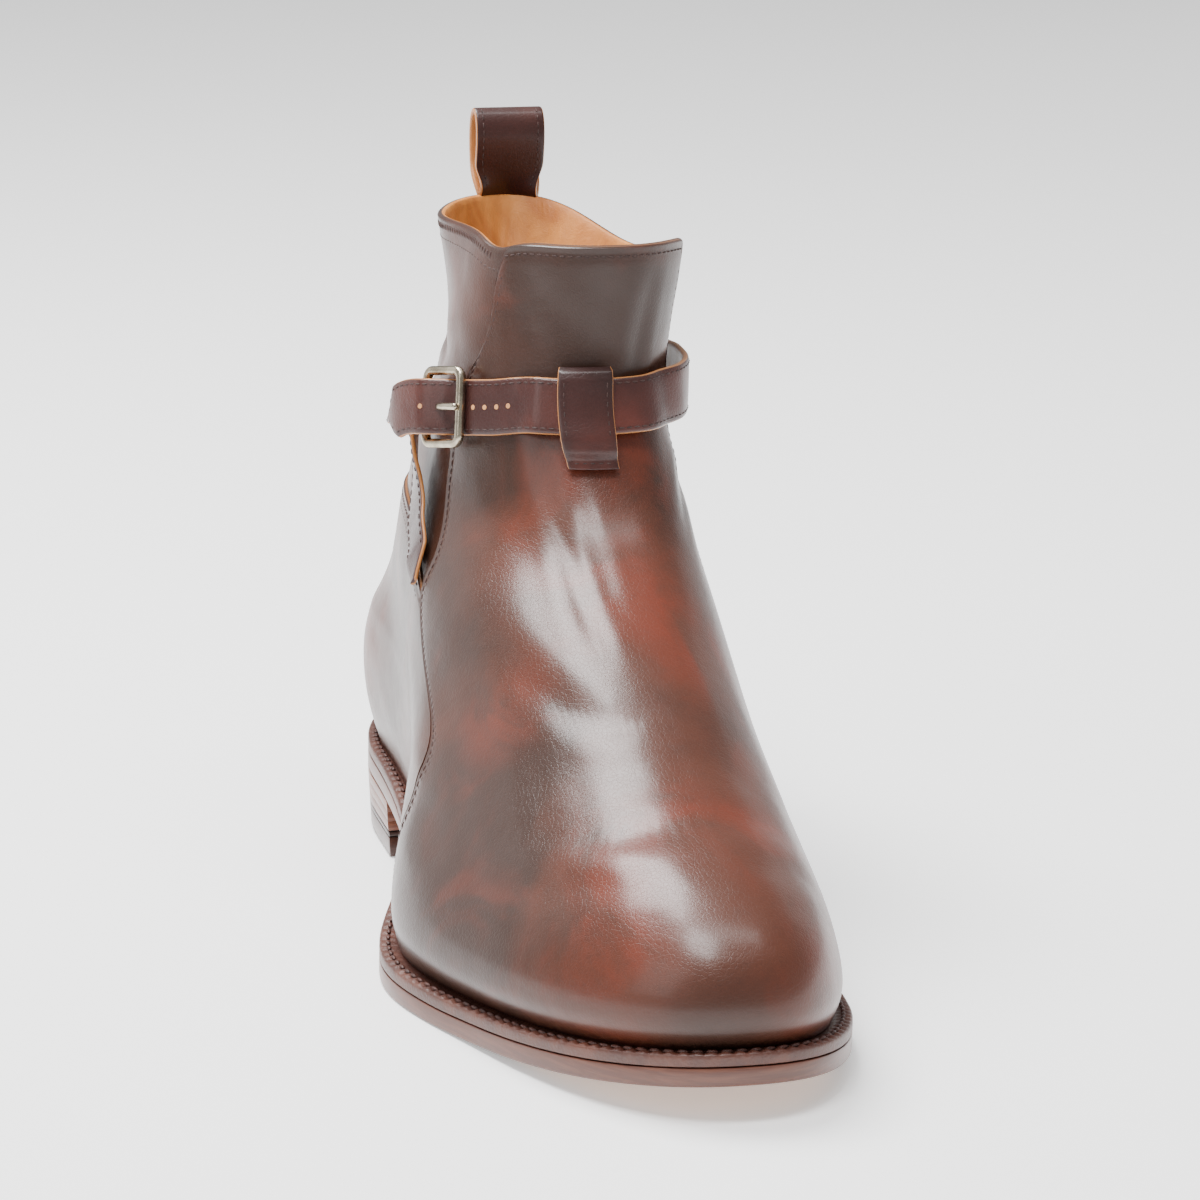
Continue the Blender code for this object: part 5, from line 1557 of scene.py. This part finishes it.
@dataclass
class Bottom:
    """Outsole, welt with its stitches, insole and the heel's layers."""

    # The waist's bevel: how high, and its middle and reach as shares of the length
    BEVEL, BEVEL_MIDDLE, BEVEL_REACH = 0.0022, 0.42, 0.16
    FEATHER_INSET = -0.0024
    INSOLE_INSET = -0.0032
    SOLE_STITCH = (0.0036, 0.0034, 0.0014, 0.0012)
    WHEEL_PITCH, WHEEL_DEPTH = 0.0036, 0.00034
    # Welt section, edge to feather: inset, share of the height and share of the wheel's marks
    WELT_ROWS = ((0.0004, 0.00, 0.0), (0.0001, 0.03, 0.0), (0.0, 0.08, 0.0), (0.0, 0.55, 0.0), (0.0, 0.80, 0.0),
                 (0.0003, 0.94, 0.15), (0.0008, 1.00, 0.6), (0.0016, 1.03, 1.0), (0.0026, 1.02, 1.0),
                 (0.0034, 0.99, 0.7), (0.0044, 0.97, 0.0), (None, 0.97, 0.0), (None, 0.00, 0.0))
    # Edge of the outsole, bottom to top: inset and share of the height
    OUTSOLE_EDGE = ((0.0007, 0.0), (0.0003, 0.02), (0.0001, 0.07), (0.0, 0.14), (0.0, 0.5), (0.0, 0.94),
                    (0.0001, 0.98), (0.0003, 1.0), (0.0012, 1.0))
    NAILS = ((-0.024, 0.066), (-0.019, 0.068), (-0.025, 0.061), (0.014, 0.067), (0.019, 0.060),
             (0.022, 0.054), (-0.024, 0.036), (0.025, 0.036))

    finishes: Finishes
    margin_heel: float = 0.0042
    margin_fore: float = 0.0066
    top_piece: float = 0.0058
    dark_lift: float = 0.0014
    notch: float = 0.0085
    hollow: float = 0.0022
    rubber: float = 0.031

    @staticmethod
    def slab(line: np.ndarray, middle: tuple[float, float],
             rows: Sequence[tuple[float, float, Height]]) -> tuple[np.ndarray, np.ndarray]:
        """A layer made of rings: inset from the outline or share towards its middle line.

        Args:
            line: The outline, x and distance ahead.
            middle: Where the middle line starts and ends, ahead.
            rows: For each ring its inset in metres, its share towards the middle line, and a function
                that gives its height from x and ahead.

        Returns:
            The rings' points and each ring's distance from the edge in millimetres.
        """
        normal = SoleLine.inward(line)
        spine_ahead = np.clip(line[:, 1], middle[0], middle[1])
        centre_x = []
        for ahead in spine_ahead:
            close = np.abs(line[:, 1] - ahead) < 0.004
            centre_x.append((line[close, 0].min() + line[close, 0].max()) / 2.0)
        spine = np.stack([np.array(centre_x), spine_ahead], -1)
        rings, gaps = [], []
        for inset, share, height in rows:
            flat = line + normal * inset
            flat = flat + (spine - flat) * share
            z = height(flat[:, 0], flat[:, 1])
            rings.append(np.stack([flat[:, 0], LAST.ORIGIN_AHEAD - flat[:, 1], z], -1))
            gaps.append(inset + np.linalg.norm(flat - line - normal * inset, axis=1))
        return np.array(rings), np.array(gaps) / MM

    def outsole(self) -> None:
        """Leather sole with a rounded edge and a bevelled waist."""
        line = SoleLine(self.margin_heel, self.margin_fore, 300).points
        half = (line[:, 0].max() - line[:, 0].min()) / 2.0

        def low(x: np.ndarray, ahead: np.ndarray) -> np.ndarray:
            """Underside."""
            waist = ease(1.0 - np.abs(ahead / LAST.LENGTH - self.BEVEL_MIDDLE) / self.BEVEL_REACH)
            left = np.interp(ahead, *self.side(line, -1.0))
            right = np.interp(ahead, *self.side(line, 1.0))
            w = np.clip(np.abs((x - (left + right) / 2.0) / np.maximum((right - left) / 2.0, 0.3 * half)), 0.0, 1.0)
            return LAST.ground(ahead) + self.BEVEL * waist * w ** 3

        def part(share: float) -> Height:
            """A height between underside and top."""
            return lambda x, ahead: low(x, ahead) + (LAST.ground(ahead) + LAST.OUTSOLE - low(x, ahead)) * share

        rows = [(0.0012, share, part(0.0)) for share in (1.0, 0.85, 0.65, 0.45, 0.28, 0.14, 0.05)]
        rows += [(inset, 0.0, part(share)) for inset, share in self.OUTSOLE_EDGE]
        rows += [(0.0012, share, part(1.0)) for share in (0.2, 0.6, 1.0)]
        rings, gaps = self.slab(line, (0.030, 0.240), rows)
        under = np.zeros(gaps.shape)
        under[:8] = 1.0
        ahead = LAST.ORIGIN_AHEAD - rings[..., 1]
        x = rings[..., 0]
        pointed = 0.150 + 0.020 * np.clip(1.0 - np.abs(x - 0.004) / 0.040, 0.0, 1.0) - 0.020
        tan = np.clip((ahead - pointed - 0.012 * np.abs(x - 0.004) / 0.04) / 0.0015, -3.0, 3.0) * 0.5 + 0.5
        tan = np.minimum(tan, np.clip((gaps - 5.0) / 0.6, -3.0, 3.0) * 0.5 + 0.5)
        piece = skin("sole", rings, {"under": under, "tan": tan * under, "edge": gaps})
        Part.place(piece, "sole_edge", self.finishes.outsole, "outsole")

    @staticmethod
    def side(line: np.ndarray, sign: float) -> tuple[np.ndarray, np.ndarray]:
        """One side of the outline as distance ahead and x, rising."""
        front = int(np.argmax(line[:, 1]))
        half = line[:front + 1] if sign < 0 else line[front:][::-1]
        order = np.argsort(half[:, 1])
        return half[order, 1], half[order, 0]

    def welt(self) -> None:
        """Welt with a wheeled top, and the stitches that hold the sole."""
        outer = SoleLine(self.margin_heel, self.margin_fore, 720).points
        normal = SoleLine.inward(outer)
        wheel = np.sin(reach_along(outer) / self.WHEEL_PITCH * 2.0 * np.pi)
        feather = SoleLine(self.FEATHER_INSET, self.FEATHER_INSET, 1440).points
        depth = np.array([np.min(np.linalg.norm(feather - point, axis=1)) for point in outer])
        loops = []
        for inset, share, wave in self.WELT_ROWS:
            move = depth if inset is None else np.minimum(np.full(len(outer), inset), depth * 0.97)
            flat = outer + normal * move[:, None]
            base = LAST.ground(flat[:, 1]) + LAST.OUTSOLE + LAST.GAP
            z = base + LAST.WELT * share + wheel * wave * self.WHEEL_DEPTH
            loops.append(np.stack([flat[:, 0], LAST.ORIGIN_AHEAD - flat[:, 1], z], -1))
        loops = np.swapaxes(np.array(loops), 0, 1)
        Part.place(skin("welt_ring", loops, ring=True), "welt_leather", self.finishes.welt, "welt")
        thread = Stitches("welt_stitches")
        flat = outer + normal * 0.0024
        height = LAST.ground(flat[:, 1]) + LAST.OUTSOLE + LAST.GAP + LAST.WELT * 1.02 + 0.0001
        path = np.stack([flat[:, 0], LAST.ORIGIN_AHEAD - flat[:, 1], height], -1)
        path = np.concatenate([path, path[:1]])
        thread.along(path, np.tile(UP, (len(path), 1)), *self.SOLE_STITCH)
        thread.make("welt_leather", self.finishes.welt_thread)

    def insole(self) -> None:
        """Insole with a dished seat."""
        line = SoleLine(self.INSOLE_INSET, self.INSOLE_INSET, 200).points

        def floor(_: np.ndarray, ahead: np.ndarray) -> np.ndarray:
            """Underside."""
            return LAST.ground(ahead) + LAST.OUTSOLE + LAST.GAP

        def above(rise: float) -> Height:
            """A height over the line where upper and welt meet."""
            return lambda x, ahead: LAST.seat(ahead) + rise

        rows = [(0.0, share, floor) for share in (1.0, 0.4, 0.0)] + [(0.0, 0.0, above(0.0012))]
        rows += [(0.0006, share, above(0.0020)) for share in (0.0, 0.3, 0.6, 1.0)]
        rings, gaps = self.slab(line, (0.035, 0.230), rows)
        Part.place(skin("inner_sole", rings, {"edge": gaps}), "insole_leather", self.finishes.insole, "insole")

    def heel_line(self, start: float, notched: bool) -> np.ndarray:
        """Outline of a heel layer from start ahead to the hollow breast."""
        full = SoleLine(self.margin_heel, self.margin_fore, 900).points
        left_ahead, left_x = self.side(full, -1.0)
        right_ahead, right_x = self.side(full, 1.0)
        stop = LAST.HEEL_LENGTH
        back = full[:, 1].min()
        if start <= back + 1e-5:
            turn = np.linspace(0.0, np.pi / 2.0, 60)
            ahead = back + (stop - back) * (1.0 - np.cos(turn))
        else:
            ahead = np.linspace(start, stop, 40)
        right = np.interp(ahead, right_ahead, right_x)
        left = np.interp(ahead, left_ahead, left_x)
        if notched:
            right = right - np.clip(ahead - (stop - self.notch), 0.0, None)
        across = np.linspace(0.0, 1.0, 26)[1:-1]
        breast_x = left[-1] + (right[-1] - left[-1]) * across
        breast = np.stack([breast_x, stop - self.hollow * (1.0 - (2.0 * across - 1.0) ** 2)], -1)
        parts = [np.stack([left, ahead], -1), breast, np.stack([right, ahead], -1)[::-1]]
        if start > back + 1e-5:
            parts.append(np.stack([right[0] + (left[0] - right[0]) * across, np.full(len(across), start)], -1))
        line = np.concatenate(parts)
        keep = np.linalg.norm(line - np.roll(line, 1, axis=0), axis=1) > 1e-5
        return SoleLine.even(line[keep], 220)

    def taper(self, rings: np.ndarray) -> np.ndarray:
        """Draws a heel layer in a little towards the floor."""
        middle = 0.0010
        draw = 0.0012 * 2.0 / 0.07 * np.clip(1.0 - rings[..., 2] / LAST.HEEL_HEIGHT, 0.0, 1.0)
        rings[..., 0] = middle + (rings[..., 0] - middle) * (1.0 - draw)
        return rings

    def layer(self, name: str, node: str, slot: str, material: bpy.types.Material, line: np.ndarray,
              low: float, high: Callable[[np.ndarray], np.ndarray], lines: Sequence[float] = ()) -> None:
        """One layer of the heel.

        Args:
            name: Name of the piece.
            node: CAD node it stands for.
            slot: Material slot.
            material: Its material.
            line: Its outline.
            low: Height of its underside.
            high: Function of ahead that gives its top.
            lines: Shares of its height where two lifts meet.
        """
        def at(share: float, rise: float = 0.0) -> Height:
            """A height between underside and top."""
            return lambda x, ahead: low + (high(ahead) - low) * share + rise

        rows = [(0.0005, share, at(0.0)) for share in (1.0, 0.5, 0.12)]
        rows += [(0.0005, 0.0, at(0.0)), (0.00015, 0.0, at(0.0, 0.00012)), (0.0, 0.0, at(0.0, 0.0004))]
        for share in lines:
            rows += [(0.0, 0.0, at(share, -0.00025)), (0.00016, 0.0, at(share)), (0.0, 0.0, at(share, 0.00025))]
        rows += [(0.0, 0.0, at(1.0, -0.0003)), (0.0002, 0.0, at(1.0)), (0.0005, 0.0, at(1.0))]
        rows += [(0.0005, share, at(1.0)) for share in (0.5, 1.0)]
        span = (line[:, 1].min(), line[:, 1].max())
        inset = 0.35 * min(span[1] - span[0], 0.06)
        rings, gaps = self.slab(line, (span[0] + inset, span[1] - inset), rows)
        piece = skin(name, self.taper(rings), {"edge": gaps, "rim": gaps})
        Part.place(piece, slot, material, node)

    @staticmethod
    def level(height: float) -> Callable[[np.ndarray], np.ndarray]:
        """A level top at that height."""
        return lambda ahead: height + 0.0 * ahead

    def heel(self) -> None:
        """Stack, dark lift and the top piece of leather and rubber."""
        back = SoleLine(self.margin_heel, self.margin_fore, 900).points[:, 1].min()
        lift_top = self.top_piece + LAST.GAP + self.dark_lift
        gap = LAST.GAP
        self.layer("stack", "heel_stack", "sole_edge", self.finishes.stack, self.heel_line(back, False),
                   lift_top + gap, lambda ahead: LAST.ground(ahead) - gap, (0.34, 0.67))
        self.layer("thin_dark_lift", "heel_dark_lift", "dark_lift", self.finishes.dark_lift, self.heel_line(back, True),
                   self.top_piece + gap, self.level(lift_top))
        self.layer("top_piece", "heel_top_leather", "top_leather", self.finishes.top_piece,
                   self.heel_line(self.rubber + gap, True), 0.0, self.level(self.top_piece))
        full = self.heel_line(back, False)
        rubber = full[full[:, 1] <= self.rubber]
        start = int(np.argmax(np.linalg.norm(rubber - np.roll(rubber, 1, axis=0), axis=1)))
        rubber = np.roll(rubber, -start, axis=0)
        ends = np.array(((rubber[0, 0], self.rubber), (rubber[-1, 0], self.rubber)))
        seam = ends[1] + (ends[0] - ends[1]) * np.linspace(0.0, 1.0, 24)[:, None]
        self.layer("rubber_piece", "heel_top_rubber", "rubber", self.finishes.rubber,
                   SoleLine.even(np.concatenate([rubber, seam]), 160), 0.0, self.level(self.top_piece))

    def nails(self) -> None:
        """Small nail heads in the top piece."""
        shape = bmesh.new()
        for x, ahead in self.NAILS:
            matrix = Matrix.Translation(Vector((x, LAST.ORIGIN_AHEAD - ahead, 0.00012)))
            bmesh.ops.create_cone(shape, cap_ends=True, segments=12, radius1=0.0007, radius2=0.0008, depth=0.0002,
                                  matrix=matrix)
        Part.place(finished("top_piece_nails", shape), "brass", self.finishes.nail)

    def make(self) -> None:
        """Builds everything under the upper."""
        self.outsole()
        self.welt()
        self.insole()
        self.heel()
        self.nails()


class Studio:
    """Camera at the photograph's viewing angle, pale floor and soft light."""

    EYE = (-0.2424, -1.1509, 0.3954)
    VIEW = (-19.07, 15.272)
    ROLL = 2.763
    FOCAL = 3085.04
    FRAME = 1200.0
    AIM = (312.5, 601.0)
    ZOOM = 1.36
    SENSOR = 36.0
    FLOOR_DROP = 0.0002
    WORLD_LIGHT = 0.42
    # Softboxes: name, place, size, watts and, if not the boot's middle, the point it faces
    LAMPS = (
        ("top_softbox", (-0.36, 0.30, 1.30), (0.60, 0.64), 40.0),
        ("toe_softbox", (-0.26, -0.48, 1.26), (0.42, 0.34), 11.0, (0.0, -0.2, 0.04)),
        ("left_softbox", (-1.35, -0.85, 0.95), (0.8, 1.1), 7.0),
        ("back_left_softbox", (-1.55, 1.35, 0.70), (1.5, 1.3), 8.0),
        ("back_right_softbox", (1.45, 1.30, 0.60), (1.1, 1.1), 2.5),
        ("floor_light", (0.0, -0.5, 2.6), (2.6, 0.5), 30.0, (0.0, -0.5, 0.0)),
    )

    def __init__(self, finishes: Finishes) -> None:
        """Keeps the finishes for the floor."""
        self.finishes = finishes

    def camera(self) -> None:
        """Sets the camera where the photograph was taken from, turned to frame this boot."""
        azimuth, elevation, roll = (math.radians(value) for value in (*self.VIEW, self.ROLL))
        ahead = -np.array((math.sin(azimuth) * math.cos(elevation), -math.cos(azimuth) * math.cos(elevation),
                           math.sin(elevation)))
        right = unit(np.cross(ahead, UP))
        up = np.cross(right, ahead)
        right, up = math.cos(roll) * right + math.sin(roll) * up, math.cos(roll) * up - math.sin(roll) * right
        half = self.FRAME / 2.0
        aim = unit(ahead + right * (self.AIM[0] - half) / self.FOCAL - up * (self.AIM[1] - half) / self.FOCAL)
        side = unit(right - aim * right.dot(aim))
        top = np.cross(side, aim)
        data = bpy.data.cameras.new("photo_camera")
        data.sensor_width = self.SENSOR
        data.lens = self.SENSOR * self.FOCAL / self.FRAME * self.ZOOM
        data.clip_start = 0.05
        camera = bpy.data.objects.new("photo_camera", data)
        rows = Matrix((side, top, -aim)).transposed().to_4x4()
        camera.matrix_world = Matrix.Translation(Vector(self.EYE)) @ rows
        bpy.context.scene.collection.objects.link(camera)
        bpy.context.scene.camera = camera

    def floor(self) -> None:
        """A wide pale floor."""
        shape = bmesh.new()
        bmesh.ops.create_grid(shape, x_segments=1, y_segments=1, size=4.0)
        for vertex in shape.verts:
            vertex.co.z = -self.FLOOR_DROP
        mesh = bpy.data.meshes.new("floor")
        shape.to_mesh(mesh)
        shape.free()
        mesh.materials.append(self.finishes.floor)
        thing = bpy.data.objects.new("floor", mesh)
        bpy.context.scene.collection.objects.link(thing)

    def lamp(self, name: str, place: tuple[float, float, float], size: tuple[float, float], power: float,
             target: tuple[float, float, float] = (0.0, -0.06, 0.08)) -> None:
        """A rectangular softbox aimed at the boot.

        Args:
            name: Name of the lamp.
            place: Where it stands.
            size: Its width and height.
            power: Its power in watts.
            target: The point it faces.
        """
        data = bpy.data.lights.new(name, "AREA")
        data.shape = "RECTANGLE"
        data.size, data.size_y = size
        data.energy = power
        thing = bpy.data.objects.new(name, data)
        toward = Vector(target) - Vector(place)
        turn = toward.to_track_quat("-Z", "Y").to_matrix().to_4x4()
        thing.matrix_world = Matrix.Translation(Vector(place)) @ turn
        bpy.context.scene.collection.objects.link(thing)

    def light(self) -> None:
        """Soft studio light."""
        world = bpy.data.worlds.new("studio_air")
        world.use_nodes = True
        air = world.node_tree.nodes["Background"]
        air.inputs["Color"].default_value = (1.0, 1.0, 1.0, 1.0)
        air.inputs["Strength"].default_value = self.WORLD_LIGHT
        bpy.context.scene.world = world
        for lamp in self.LAMPS:
            self.lamp(*lamp)

    def make(self) -> None:
        """Sets camera, floor and light."""
        self.camera()
        self.floor()
        self.light()


def main() -> None:
    """Builds the dressed boot and its studio, in order."""
    logging.basicConfig(level=logging.INFO, format="%(message)s")
    finishes = Finishes()
    Studio(finishes).make()
    axes = BuckleAxes()
    Upper(finishes).make()
    Bottom(finishes).make()
    Straps(finishes, axes).make()
    Buckle(finishes, axes).make()
    PullLoop(finishes).make()


if __name__ == "__main__":
    main()
